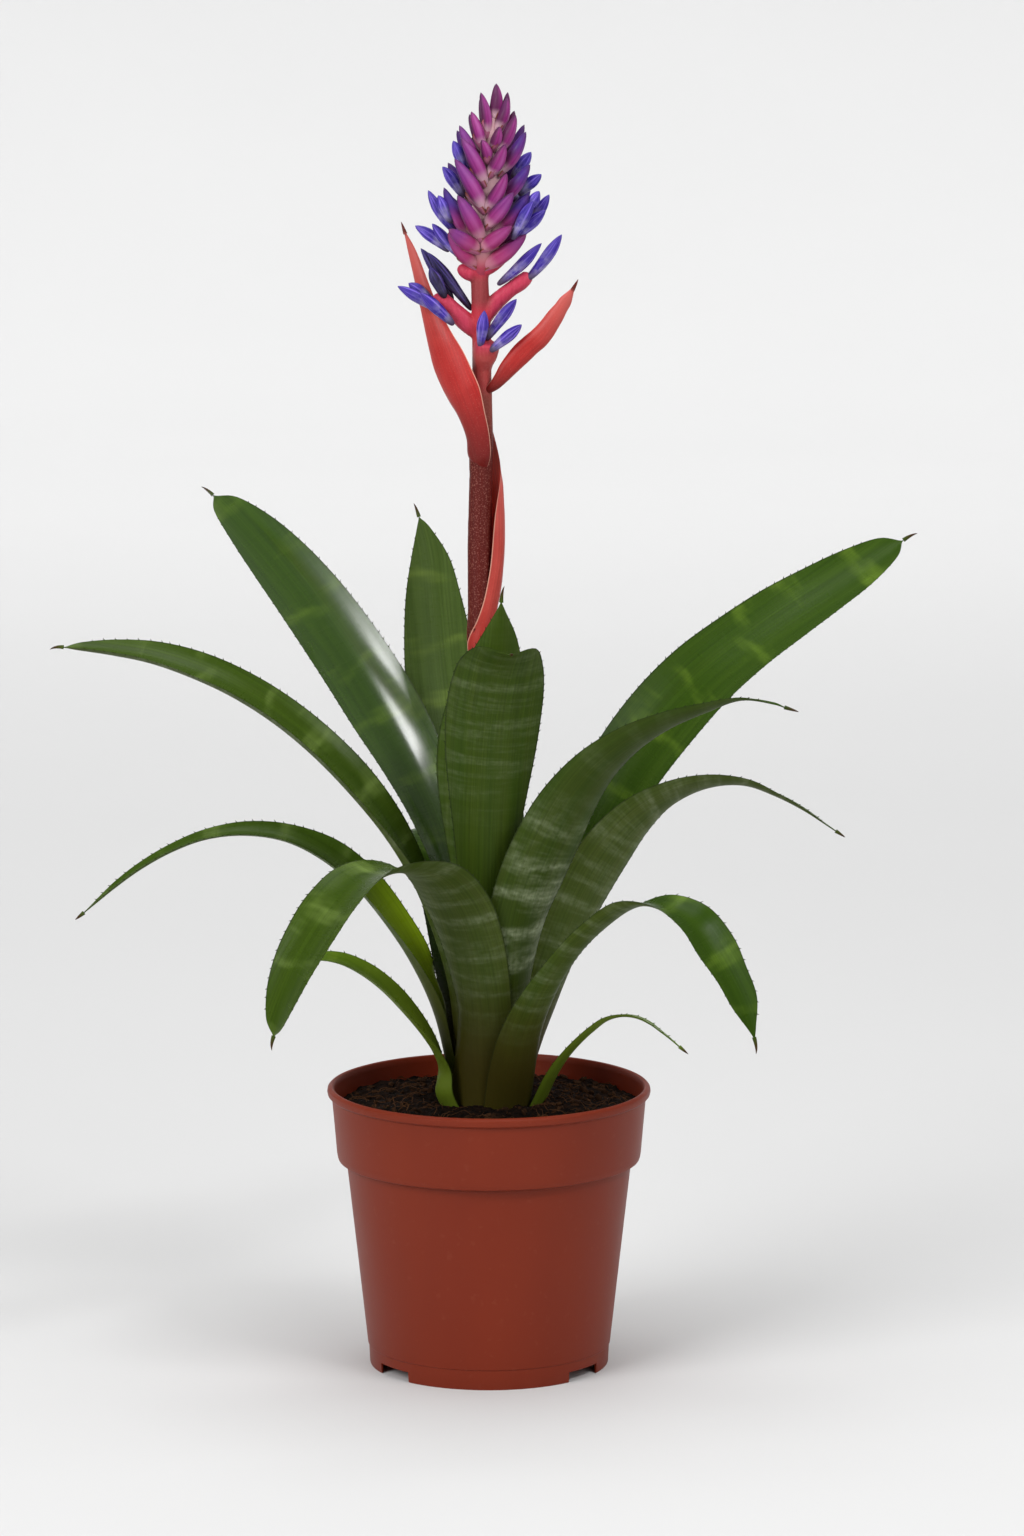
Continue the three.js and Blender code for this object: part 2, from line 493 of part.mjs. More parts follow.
function add(name, geometry, color, roughness) {
  const mesh = new THREE.Mesh(geometry, new THREE.MeshStandardMaterial({ color, roughness, metalness: 0 }));
  mesh.name = name;
  plant.add(mesh);
  return mesh;
}

add('pot', potGeometry(), '#8a3a26', 0.5);
add('soil', soilGeometry(), '#2a1810', 1);
const stem = add('flower_stem', stemGeometry(), '#a83a35', 0.6);
nest(rod(stemLine, stemRadii, STEM_SIDES, STEM_RINGS));
const grown = [solidOf(stem.geometry)];
for (const leaf of [...bracts, ...leaves]) {
  const surface = middleSurface(leaf);
  const thick = leaf.thick ?? [LEAF_THICK_BASE, LEAF_THICK_BLADE];
  nestOutside(surface);
  settle(surface, thick, grown);
  grown.push(solidOf(add(leaf.name, bladeGeometry(surface, ...thick), leaf.color ?? '#3f5f26',
    0.4).geometry));
}
const head = add('flower_head', headGeometry(), '#8e2a78', 0.6);
grown.push(solidOf(head.geometry));
for (const [name, base, tip, radius] of flowers) {
  const solid = flowerSolid(vec(base), vec(tip), radius, grown);
  grown.push(solid);
  add(name, geometryOf(solid), '#5146a8', 0.5);
}

export default plant;
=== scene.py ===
import json
import math
import random

import bmesh
import bpy
import numpy as np
from mathutils import Matrix, Vector, noise

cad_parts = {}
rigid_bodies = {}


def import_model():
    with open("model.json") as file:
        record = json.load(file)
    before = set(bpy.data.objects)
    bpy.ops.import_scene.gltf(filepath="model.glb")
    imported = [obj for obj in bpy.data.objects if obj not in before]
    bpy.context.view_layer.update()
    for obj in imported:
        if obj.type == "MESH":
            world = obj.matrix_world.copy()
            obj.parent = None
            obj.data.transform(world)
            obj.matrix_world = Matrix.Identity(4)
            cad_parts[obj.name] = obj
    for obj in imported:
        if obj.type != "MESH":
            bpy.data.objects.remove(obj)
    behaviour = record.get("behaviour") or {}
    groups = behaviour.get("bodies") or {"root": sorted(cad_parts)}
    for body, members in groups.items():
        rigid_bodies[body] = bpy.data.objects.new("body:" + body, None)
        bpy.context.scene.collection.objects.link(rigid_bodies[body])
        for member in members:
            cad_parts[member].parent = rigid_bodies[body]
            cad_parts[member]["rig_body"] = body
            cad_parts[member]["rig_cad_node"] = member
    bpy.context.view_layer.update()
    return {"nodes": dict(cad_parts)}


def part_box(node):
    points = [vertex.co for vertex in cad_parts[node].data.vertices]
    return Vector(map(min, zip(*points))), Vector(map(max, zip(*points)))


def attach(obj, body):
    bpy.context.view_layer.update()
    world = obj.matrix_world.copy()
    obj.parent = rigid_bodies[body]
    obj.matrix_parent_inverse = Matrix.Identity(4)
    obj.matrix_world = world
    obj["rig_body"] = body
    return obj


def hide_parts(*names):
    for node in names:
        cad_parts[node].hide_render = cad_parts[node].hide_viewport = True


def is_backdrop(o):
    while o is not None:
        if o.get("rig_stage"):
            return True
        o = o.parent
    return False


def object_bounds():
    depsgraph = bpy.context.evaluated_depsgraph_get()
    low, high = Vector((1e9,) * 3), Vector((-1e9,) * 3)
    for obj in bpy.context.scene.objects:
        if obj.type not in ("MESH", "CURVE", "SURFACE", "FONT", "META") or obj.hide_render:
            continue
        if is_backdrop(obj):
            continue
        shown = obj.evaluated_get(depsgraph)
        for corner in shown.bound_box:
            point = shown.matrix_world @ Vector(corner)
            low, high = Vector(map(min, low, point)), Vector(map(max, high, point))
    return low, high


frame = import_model()
MM = 0.001


# --- The pot -------------------------------------------------------------------------------------
# A thin-walled nursery pot of injection-moulded polypropylene, coloured right through: a tapering
# body on a notched foot, a wide collar to stack and lift it by, a rolled lip and drain holes.
pot_low, pot_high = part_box("pot")
POT_SIZE = (pot_high.x - pot_low.x) / 2 / 75            # metres for each drawn millimetre
POT_WALL = [(0, 5), (54.7, 5), (54.7, 0.5), (55, 0), (55.4, 0), (55.6, 0.5), (56.05, 9.2), (56.5, 9.7),
            (61.2, 52), (66, 94.6), (66.2, 95.9), (67.2, 96.4), (69, 96.6), (69.9, 97.1), (70.3, 98.2),
            (70.6, 100), (71.7, 113), (72.9, 126.4), (73.9, 126.7), (74.7, 127.5), (75, 128.8),
            (74.8, 130.1), (74.1, 130.9), (73.2, 131.2), (72.3, 130.9), (71.8, 130.1), (71.5, 128),
            (69.3, 100.5), (68.6, 98.6), (65.4, 97.4), (64.7, 96.4), (54.9, 7), (54.2, 6.3), (0, 6.3)]
NOTCHES = (52.5, 127.5, 232.5, 307.5)                   # degrees round from the front
NOTCH_RING, NOTCH_HEIGHT, NOTCH_SIDES = 55.3, 1.9, (21, 9, 6)
DRAINS, DRAIN_RING, DRAIN_RADIUS = 8, 40, 3.5
DRAIN_HEIGHT, DRAIN_DEPTH, POT_STEPS = 5.6, 6, 160


def alone(*objs):
    """Selects these objects and nothing else, with the first of them active."""
    bpy.ops.object.select_all(action="DESELECT")
    for obj in objs:
        obj.select_set(True)
    bpy.context.view_layer.objects.active = objs[0]


def made(name, points, edges, faces):
    """A new object in the scene with this mesh."""
    mesh = bpy.data.meshes.new(name)
    mesh.from_pydata([tuple(p) for p in points], edges, faces)
    obj = bpy.data.objects.new(name, mesh)
    bpy.context.scene.collection.objects.link(obj)
    return obj


def closed_outward(obj):
    """Merges doubled corners and turns every face outwards, each closed shell checked by its volume."""
    alone(obj)
    bpy.ops.object.mode_set(mode="EDIT")
    bpy.ops.mesh.select_all(action="SELECT")
    bpy.ops.mesh.remove_doubles(threshold=1e-6)
    bpy.ops.mesh.normals_make_consistent(inside=False)
    bpy.ops.object.mode_set(mode="OBJECT")
    body = bmesh.new()
    body.from_mesh(obj.data)
    seen = set()
    for first in body.faces:
        if first in seen:
            continue
        seen.add(first)
        shell, volume = [first], 0.0
        for face in shell:
            corners = [v.co for v in face.verts]
            volume += sum(corners[0].dot(a.cross(b)) for a, b in zip(corners[1:], corners[2:]))
            for neighbour in (f for e in face.edges for f in e.link_faces):
                if neighbour not in seen:
                    seen.add(neighbour)
                    shell.append(neighbour)
        if volume < 0:
            bmesh.ops.reverse_faces(body, faces=shell)
    body.to_mesh(obj.data)
    body.free()


def applied(obj, kind, **settings):
    """Adds a modifier and applies it."""
    modifier = obj.modifiers.new(kind.title(), kind)
    for name, value in settings.items():
        setattr(modifier, name, value)
    alone(obj)
    bpy.ops.object.modifier_apply(modifier=modifier.name)


def linear(colour):
    """An sRGB hex colour as linear light."""
    parts = [int(colour[i:i + 2], 16) / 255 for i in (0, 2, 4)]
    return [c / 12.92 if c <= 0.04045 else ((c + 0.055) / 1.055) ** 2.4 for c in parts] + [1]


def finish_named(name):
    """An empty material with its shader and its output."""
    finish = bpy.data.materials.new(name)
    finish.use_nodes = True
    return finish, finish.node_tree.nodes["Principled BSDF"]


def add(finish, kind, sockets=None, **settings):
    """Adds a shader node: its settings, then its sockets by name or number, each a value or a link."""
    node = finish.node_tree.nodes.new("ShaderNode" + kind)
    for name, value in settings.items():
        setattr(node, name, value)
    for key, value in (sockets or {}).items():
        if isinstance(value, bpy.types.NodeSocket):
            finish.node_tree.links.new(value, node.inputs[key])
        else:
            node.inputs[key].default_value = value
    return node


def wire(finish, shader, **sockets):
    """Links outputs to the shader, with _ for the spaces in its sockets' names."""
    for name, output in sockets.items():
        finish.node_tree.links.new(output, shader.inputs[name.replace("_", " ")])


def placed(obj, finish, slot, *nodes):
    """Gives a piece its finish and hands it to the frame in place of its CAD nodes."""
    obj.data.materials.clear()
    obj.data.materials.append(finish)
    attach(obj, "root")
    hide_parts(*nodes)


pot = made("pot_moulded", [(r * POT_SIZE, 0, z * POT_SIZE) for r, z in POT_WALL],
           [(i, i + 1) for i in range(len(POT_WALL) - 1)], [])
alone(pot)
bpy.ops.object.mode_set(mode="EDIT")
bpy.ops.mesh.select_all(action="SELECT")
bpy.ops.mesh.spin(steps=POT_STEPS, angle=math.tau, center=(0, 0, 0), axis=(0, 0, 1))
bpy.ops.object.mode_set(mode="OBJECT")
closed_outward(pot)
cutters = []
for turn in NOTCHES:
    angle = math.radians(turn)
    bpy.ops.mesh.primitive_cube_add(size=1, location=(0, 0, 0))
    cutter = bpy.context.object
    cutter.data.transform(Matrix.Rotation(angle, 4, "Z")
                          @ Matrix.Translation((0, -NOTCH_RING * POT_SIZE, NOTCH_HEIGHT * POT_SIZE))
                          @ Matrix.Diagonal([side * POT_SIZE for side in NOTCH_SIDES] + [1]))
    cutters.append(cutter)
for i in range(DRAINS):
    angle = math.tau * (i + 0.5) / DRAINS
    bpy.ops.mesh.primitive_cylinder_add(
        vertices=24, radius=DRAIN_RADIUS * POT_SIZE, depth=DRAIN_DEPTH * POT_SIZE,
        location=(DRAIN_RING * POT_SIZE * math.cos(angle), DRAIN_RING * POT_SIZE * math.sin(angle),
                  DRAIN_HEIGHT * POT_SIZE))
    cutters.append(bpy.context.object)
alone(*cutters)
bpy.ops.object.join()
cutter = bpy.context.object
applied(pot, "BOOLEAN", operation="DIFFERENCE", solver="EXACT", object=cutter)
bpy.data.objects.remove(cutter)
middle = (pot_low + pot_high) / 2
pot.data.transform(Matrix.Translation((middle.x, middle.y, pot_low.z)))
alone(pot)
bpy.ops.object.shade_smooth_by_angle(angle=math.radians(32))

# Injection-moulded polypropylene with a fine spark-eroded grain: a soft satin sheen that spreads a
# light along the curve, with faint flow clouds in the colour.
terracotta, shader = finish_named("moulded_polypropylene_terracotta")
place = add(terracotta, "TexCoord").outputs["Object"]
flow = add(terracotta, "Mapping", {"Vector": place, "Scale": (28, 28, 9)}).outputs[0]
cloud = add(terracotta, "TexNoise", {"Vector": flow, "Scale": 1.0, "Detail": 3.0}).outputs[0]
grain = add(terracotta, "TexNoise", {"Vector": place, "Scale": 1400.0, "Detail": 2.0}).outputs[0]
dust = add(terracotta, "TexNoise", {"Vector": place, "Scale": 260.0, "Detail": 4.0}).outputs[0]
colour = add(terracotta, "Mix", {0: cloud, 6: linear("6e220d"), 7: linear("792910")},
             data_type="RGBA").outputs[2]
speck = add(terracotta, "MapRange", {0: dust, 1: 0.62, 2: 0.8, 3: 0.0, 4: 0.22}).outputs[0]
colour = add(terracotta, "Mix", {0: speck, 6: colour, 7: linear("8a4834")}, data_type="RGBA").outputs[2]
satin = add(terracotta, "MapRange", {0: cloud, 1: 0.3, 2: 0.7, 3: 0.4, 4: 0.5}).outputs[0]
bump = add(terracotta, "Bump", {"Height": grain, "Strength": 0.22, "Distance": 0.0001}).outputs[0]
wire(terracotta, shader, Base_Color=colour, Roughness=satin, Normal=bump)
shader.inputs["IOR"].default_value = 1.49
shader.inputs["Specular IOR Level"].default_value = 0.22
placed(pot, terracotta, "pot_plastic", "pot")


# --- The compost ---------------------------------------------------------------------------------
# Peat and fine bark filled to just under the lip and firmed up round the plant: dark, crumbly and
# dull, with crumbs of bark and pale root fibres lying on it.
soil_low, soil_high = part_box("soil")
SOIL_RADIUS = (soil_high.x - soil_low.x) / 2
SOIL_SLOPE = [(0, 123.5), (28, 125), (34, 124.9), (46, 123.1), (60, 122.1), (72, 121.5)]
dice = random.Random(7)
CRUMBS, FIBRES = 620, 230


def soil_height(x, y):
    """The height of the crumbly top at a point."""
    ring = math.hypot(x, y) / MM
    level = float(np.interp(ring, *zip(*SOIL_SLOPE))) * MM
    rough = noise.fractal(Vector((x, y, 0)) * 95, 0.8, 2.1, 5) * 1.7 * MM
    fine = noise.noise(Vector((x, y, 0.3)) * 620) * 0.7 * MM
    return level + rough + fine


RINGS, SPOKES = 70, 200
points = [(0, 0, soil_height(0, 0))]
for r in range(1, RINGS + 1):
    for s in range(SPOKES):
        reach, angle = SOIL_RADIUS * r / RINGS, math.tau * s / SPOKES
        x, y = reach * math.cos(angle), reach * math.sin(angle)
        points.append((x, y, soil_height(x, y)))
SOIL_WALL = [(69.0, 101), (64.2, 94), (54.4, 6.4)]       # down inside the collar and the body
for ring, height in SOIL_WALL:
    for s in range(SPOKES):
        angle = math.tau * s / SPOKES
        points.append((ring * MM * math.cos(angle), ring * MM * math.sin(angle), height * MM))
points.append((0, 0, SOIL_WALL[-1][1] * MM))
faces = [(0, 1 + s, 1 + (s + 1) % SPOKES) for s in range(SPOKES)]
LEVELS = RINGS - 1 + len(SOIL_WALL)
for r in range(LEVELS):
    a, b = 1 + r * SPOKES, 1 + (r + 1) * SPOKES
    faces += [(a + s, b + s, b + (s + 1) % SPOKES, a + (s + 1) % SPOKES) for s in range(SPOKES)]
last = 1 + LEVELS * SPOKES
faces += [(last + s, len(points) - 1, last + (s + 1) % SPOKES) for s in range(SPOKES)]
kinds = [0.0] * len(faces)
crumb = bmesh.new()
bmesh.ops.create_icosphere(crumb, subdivisions=1, radius=1)
crumb_points = [v.co.copy() for v in crumb.verts]
crumb_faces = [tuple(v.index for v in f.verts) for f in crumb.faces]
crumb.free()
for i in range(CRUMBS):
    reach, angle = SOIL_RADIUS * math.sqrt(dice.uniform(0.12, 0.95)), dice.uniform(0, math.tau)
    x, y = reach * math.cos(angle), reach * math.sin(angle)
    size = dice.choice((0.5, 0.6, 0.8, 0.8, 1.1, 1.6)) * MM
    turn = Matrix.Rotation(dice.uniform(0, math.tau), 3, (dice.random(), dice.random(), 1))
    shape = Matrix.Diagonal((size * dice.uniform(1, 1.9), size, size * dice.uniform(0.5, 0.9)))
    start = len(points)
    for p in crumb_points:
        lump = p * (1 + 0.35 * noise.noise(p * 2 + Vector((i, 0, 0))))
        points.append(Vector((x, y, soil_height(x, y) + 0.2 * size)) + turn @ shape @ lump)
    faces += [tuple(start + k for k in f) for f in crumb_faces]
    kinds += [dice.uniform(0.1, 0.5)] * len(crumb_faces)
for i in range(FIBRES):
    reach, angle = SOIL_RADIUS * math.sqrt(dice.uniform(0.15, 0.92)), dice.uniform(0, math.tau)
    x, y = reach * math.cos(angle), reach * math.sin(angle)
    heading, bend, length = dice.uniform(0, math.tau), dice.uniform(-1.6, 1.6), dice.uniform(4, 13) * MM
    thick, start, steps = dice.uniform(0.1, 0.2) * MM, len(points), 7
    for k in range(steps):
        share = k / (steps - 1)
        way = heading + bend * share
        x, y = x + math.cos(way) * length / steps, y + math.sin(way) * length / steps
        if math.hypot(x, y) > SOIL_RADIUS - 0.5 * MM:
            x, y = x * 0.98, y * 0.98
        lift = soil_height(x, y) + (0.3 + 1.1 * math.sin(math.pi * share)) * MM
        for c in range(3):
            around = math.tau * c / 3
            side = math.cos(around) * thick
            points.append((x - math.sin(way) * side, y + math.cos(way) * side,
                           lift + math.sin(around) * thick))
    for k in range(steps - 1):
        a = start + 3 * k
        faces += [(a + c, a + (c + 1) % 3, a + 3 + (c + 1) % 3, a + 3 + c) for c in range(3)]
    faces += [(start, start + 2, start + 1), tuple(start + 3 * (steps - 1) + c for c in range(3))]
    kinds += [dice.uniform(0.7, 1.0)] * (3 * (steps - 1) + 2)
soil = made("compost_filled", points, [], faces)
soil.data.attributes.new("kind", "FLOAT", "FACE").data.foreach_set("value", kinds)
closed_outward(soil)

# Damp peat compost, loosely firmed: nearly black brown with no shine, lighter where crumbs of bark
# and dry fibres lie, and rough right down to the finest grain.
peat, shader = finish_named("peat_compost_loose")
place = add(peat, "TexCoord").outputs["Object"]
kind = add(peat, "Attribute", attribute_name="kind").outputs["Fac"]
clod = add(peat, "TexNoise",
           {"Vector": place, "Scale": 240.0, "Detail": 6.0, "Roughness": 0.7}).outputs[0]
damp = add(peat, "MapRange", {0: clod, 1: 0.35, 2: 0.72}, interpolation_type="SMOOTHSTEP").outputs[0]
colour = add(peat, "Mix", {0: damp, 6: linear("060302"), 7: linear("20120a")},
             data_type="RGBA").outputs[2]
colour = add(peat, "Mix", {0: kind, 6: colour, 7: linear("4e331f")}, data_type="RGBA").outputs[2]
grit = add(peat, "TexNoise", {"Vector": place, "Scale": 1500.0, "Detail": 3.0}).outputs[0]
bump = add(peat, "Bump", {"Height": grit, "Strength": 0.6, "Distance": 0.0003}).outputs[0]
dull = add(peat, "MapRange", {0: clod, 1: 0.3, 2: 0.7, 3: 0.98, 4: 0.8}).outputs[0]
wire(peat, shader, Base_Color=colour, Roughness=dull, Normal=bump)
shader.inputs["Specular IOR Level"].default_value = 0.08
placed(soil, peat, "compost", "soil")


# --- The leaves ----------------------------------------------------------------------------------
# Sixteen strap leaves in a rosette, each a channelled blade that clasps the next at its foot and
# ends in a hard spine. Each is grown from the stations of its CAD blade: smooth curves are run
# through them along and across, and the edges get their small teeth.
def stations(name):
    """The tip of a blade and its 15 stations from the foot up, each 12 points round from one edge,
    the first seven of them on the side that faces away from the plant."""
    shell = bmesh.new()
    shell.from_mesh(frame["nodes"][name].data)
    bmesh.ops.remove_doubles(shell, verts=shell.verts, dist=1e-6)
    tip = max(shell.verts, key=lambda v: len(v.link_edges))
    depth, edge_of_known = {tip: 0}, [tip]
    while edge_of_known:
        grown = []
        for v in edge_of_known:
            for e in v.link_edges:
                w = e.other_vert(v)
                if w not in depth:
                    depth[w] = depth[v] + 1
                    grown.append(w)
        edge_of_known = grown
    loops = []
    for level in range(max(depth.values()), 0, -1):
        loop = [next(v for v in shell.verts if depth[v] == level)]
        while True:
            ahead = [e.other_vert(loop[-1]) for e in loop[-1].link_edges
                     if depth[e.other_vert(loop[-1])] == level
                     and any(depth[v] != level for f in e.link_faces for v in f.verts)]
            ahead = [v for v in ahead if len(loop) < 2 or v is not loop[-2]]
            if ahead[0] is loop[0]:
                break
            loop.append(ahead[0])
        loops.append(loop)

    def fold(loop, i):
        here, a, b = loop[i].co, loop[i - 1].co, loop[(i + 1) % 12].co
        return (a - here).angle(b - here, 0)

    ordered = []
    for loop in loops:
        edge = min(range(6), key=lambda i: fold(loop, i) + fold(loop, i + 6))
        trials = [[loop[(start + way * j) % 12] for j in range(12)]
                  for start in (edge, edge + 6) for way in (1, -1)]
        if ordered:
            near = [{e.other_vert(v) for e in v.link_edges} for v in ordered[-1]]
            best = max(trials, key=lambda t: sum(t[j] in near[j] for j in range(12)))
        else:
            def outward(t):
                middle = (t[3].co + t[9].co) / 2
                return (t[3].co - t[9].co).dot(Vector((middle.x, middle.y, 0)))
            best = max(trials, key=outward)
        ordered.append(best)
    rows = np.array([[list(v.co) for v in loop] for loop in ordered])
    end = np.array(tip.co)
    shell.free()
    return rows, end


def run_through(points, steps):
    """A smooth curve through a row of points, with so many steps to each span."""
    points = np.asarray(points, float)
    padded = np.concatenate([[2 * points[0] - points[1]], points, [2 * points[-1] - points[-2]]])
    curve = []
    for i in range(len(points) - 1):
        a, b, c, d = padded[i:i + 4]
        for s in range(steps):
            t = s / steps
            curve.append(b + (c - a) * t / 2 + (2 * a - 5 * b + 4 * c - d) * t * t / 2
                         + (3 * b - 3 * c + d - a) * t ** 3 / 2)
    return np.array(curve + [points[-1]])


ROW_STEPS, SIDE_STEPS = 6, 3
ACROSS = 6 * SIDE_STEPS
TOOTH_LENGTH, TOOTH_PITCH = (0.7, 1.15), (3.4, 5.6)                # mm, least and most
TOOTH_START, TOOTH_STOP = 0.16, 0.96                               # shares of the blade's length
SPINE_ROOT, SPINE_GIRTH = 3, 1.05                                  # mm
FOOT_WAIST, FLARE_ROWS = 0.4, 5


def blade(name, teeth, spine, hook, foot=None, flare=0.0, drawn=0.0, grown=None):
    """A leaf or bract: its two faces, its teeth and its end spine, as one object. A foot is how far
    it reaches on below its first station, in mm, to join what it grows from; flare widens it there and
    drawn narrows its other end to a long point."""
    rows, end = grown or stations(name)
    if foot:
        middle = rows[0].mean(axis=0)
        rows = np.concatenate([[middle + (rows[0] - middle) * FOOT_WAIST + np.array(foot) * MM], rows])
    for i in range(FLARE_ROWS):
        middle = rows[i].mean(axis=0)
        rows[i] = middle + (rows[i] - middle) * (1 + flare * (1 - i / FLARE_ROWS))
    for i, part in ((-1, 0.5), (-2, 0.2)):
        middle = rows[i].mean(axis=0)
        rows[i] = middle + (rows[i] - middle) * (1 - drawn * part)
    rows = run_through(np.concatenate([rows, [[end] * 12]]), ROW_STEPS)
    outer = run_through(rows[:, :7].swapaxes(0, 1), SIDE_STEPS).swapaxes(0, 1)
    inner = run_through(rows[:, [0, 11, 10, 9, 8, 7, 6]].swapaxes(0, 1), SIDE_STEPS).swapaxes(0, 1)
    middle = (outer[:, ACROSS // 2] + inner[:, ACROSS // 2]) / 2
    along = np.concatenate([[0], np.cumsum(np.linalg.norm(np.diff(middle, axis=0), axis=1))])
    count, around = len(rows) - 1, 2 * ACROSS
    loop = np.concatenate([outer, inner[:, -2:0:-1]], axis=1)
    width = np.linalg.norm(np.diff(outer, axis=1), axis=2)
    reach = np.concatenate([np.zeros((len(rows), 1)), np.cumsum(width, axis=1)], axis=1)
    reach -= reach[:, -1:] / 2
    half = np.maximum(reach[:, -1:], 1e-6)
    reach = np.concatenate([reach, reach[:, -2:0:-1]], axis=1)
    share_across = reach / half
    points = loop[:count].reshape(-1, 3).tolist() + [end.tolist()]
    faces, shares, places, sides = [], [], [], []

    def face(corners, side):
        faces.append([min(r * around + i % around, count * around) for r, i in corners])
        shares.extend([(share_across[r, i % around], along[r] / along[-1]) for r, i in corners])
        places.extend([(reach[r, i % around] / MM, along[r] / MM) for r, i in corners])
        sides.append(side)

    for r in range(count):
        for i in range(around):
            corners = [(r, i), (r, i + 1), (r + 1, i + 1), (r + 1, i)]
            face(corners if r < count - 1 else [(r, i), (r, i + 1), (r + 1, i)], float(i < ACROSS))
    for i in range(ACROSS):
        corners = dict.fromkeys([i, i + 1, around - 1 - i, (around - i) % around])
        face([(0, c) for c in corners], 1.0)

    def spike(corners, share, place):
        """A closed shape outside the blade's own grid: rings of points, the last one a point."""
        start, sides_round = len(points), len(corners[0])
        for ring in corners:
            points.extend([list(p) for p in ring])
        quads = [tuple(start + k for k in range(sides_round))]
        for ring in range(len(corners) - 1):
            a, b = start + ring * sides_round, start + (ring + 1) * sides_round
            for k in range(sides_round):
                n = (k + 1) % sides_round
                blunt = len(corners[ring + 1]) > 1
                quads.append((a + k, a + n, b + n, b + k) if blunt else (a + k, a + n, b))
        for quad in quads:
            faces.append(list(quad))
            far = [min((k - start) // sides_round, len(corners) - 1) / (len(corners) - 1) for k in quad]
            shares.extend([(share[0], share[1] + 0.2 * f) for f in far])
            places.extend([place] * len(quad))
            sides.append(0.5)

    if teeth:
        dice = random.Random(name)
        for edge, inside, sign in ((0, 1, -1), (ACROSS, ACROSS - 1, 1)):
            spot = TOOTH_START * along[-1]
            while spot < TOOTH_STOP * along[-1]:
                r = int(np.searchsorted(along, spot))
                here, back = loop[r, edge], loop[r, inside]
                t = (spot - along[r - 1]) / (along[r] - along[r - 1])
                here = loop[r - 1, edge] * (1 - t) + here * t
                out = here - (loop[r - 1, inside] * (1 - t) + back * t)
                out /= np.linalg.norm(out) + 1e-9
                on = loop[r, edge] - loop[r - 1, edge]
                on /= np.linalg.norm(on) + 1e-9
                up = np.cross(out, on)
                long = dice.uniform(*TOOTH_LENGTH) * MM
                foot = [here - out * 0.25 * MM + on * 0.55 * MM * a + up * 0.22 * MM * b
                        for a, b in ((-1, 0), (0.4, 1), (0.4, -1))]
                point = here + out * long + on * long * 0.8
                spike([foot, [point]], (1.2 * sign, spot / along[-1]), (0, spot / MM))
                spot += dice.uniform(*TOOTH_PITCH) * MM
    if spine:
        ahead = end - middle[-4]
        ahead /= np.linalg.norm(ahead)
        turn = np.array(hook, float) if hook else ahead
        turn /= np.linalg.norm(turn)
        side = np.cross(ahead, (0.3, 1, 0.2))
        side /= np.linalg.norm(side)
        up = np.cross(ahead, side)
        rings = []
        root = end - ahead * SPINE_ROOT * MM
        for k in range(7):
            t = k / 7
            centre = root + ahead * SPINE_ROOT * MM * t
            centre = centre + spine * MM * (ahead * t * (1 - t) * 1.5 + turn * t * t)
            girth = SPINE_GIRTH * MM * (1 - t) ** 0.75
            rings.append([centre + girth * (side * math.cos(a) + 0.7 * up * math.sin(a))
                          for a in np.linspace(0, math.tau, 7)[:6]])
        rings.append([end + spine * MM * turn])
        spike(rings, (0, 0.99), (0, along[-1] / MM))
    obj = made(name + "_blade", points, [], faces)
    for layer, values in (("share", shares), ("place", places)):
        obj.data.uv_layers.new(name=layer).data.foreach_set("uv", np.array(values, np.float32).ravel())
    obj.data.attributes.new("under", "FLOAT", "FACE").data.foreach_set("value", sides)
    closed_outward(obj)
    alone(obj)
    bpy.ops.object.shade_smooth_by_angle(angle=math.radians(50))
    return obj


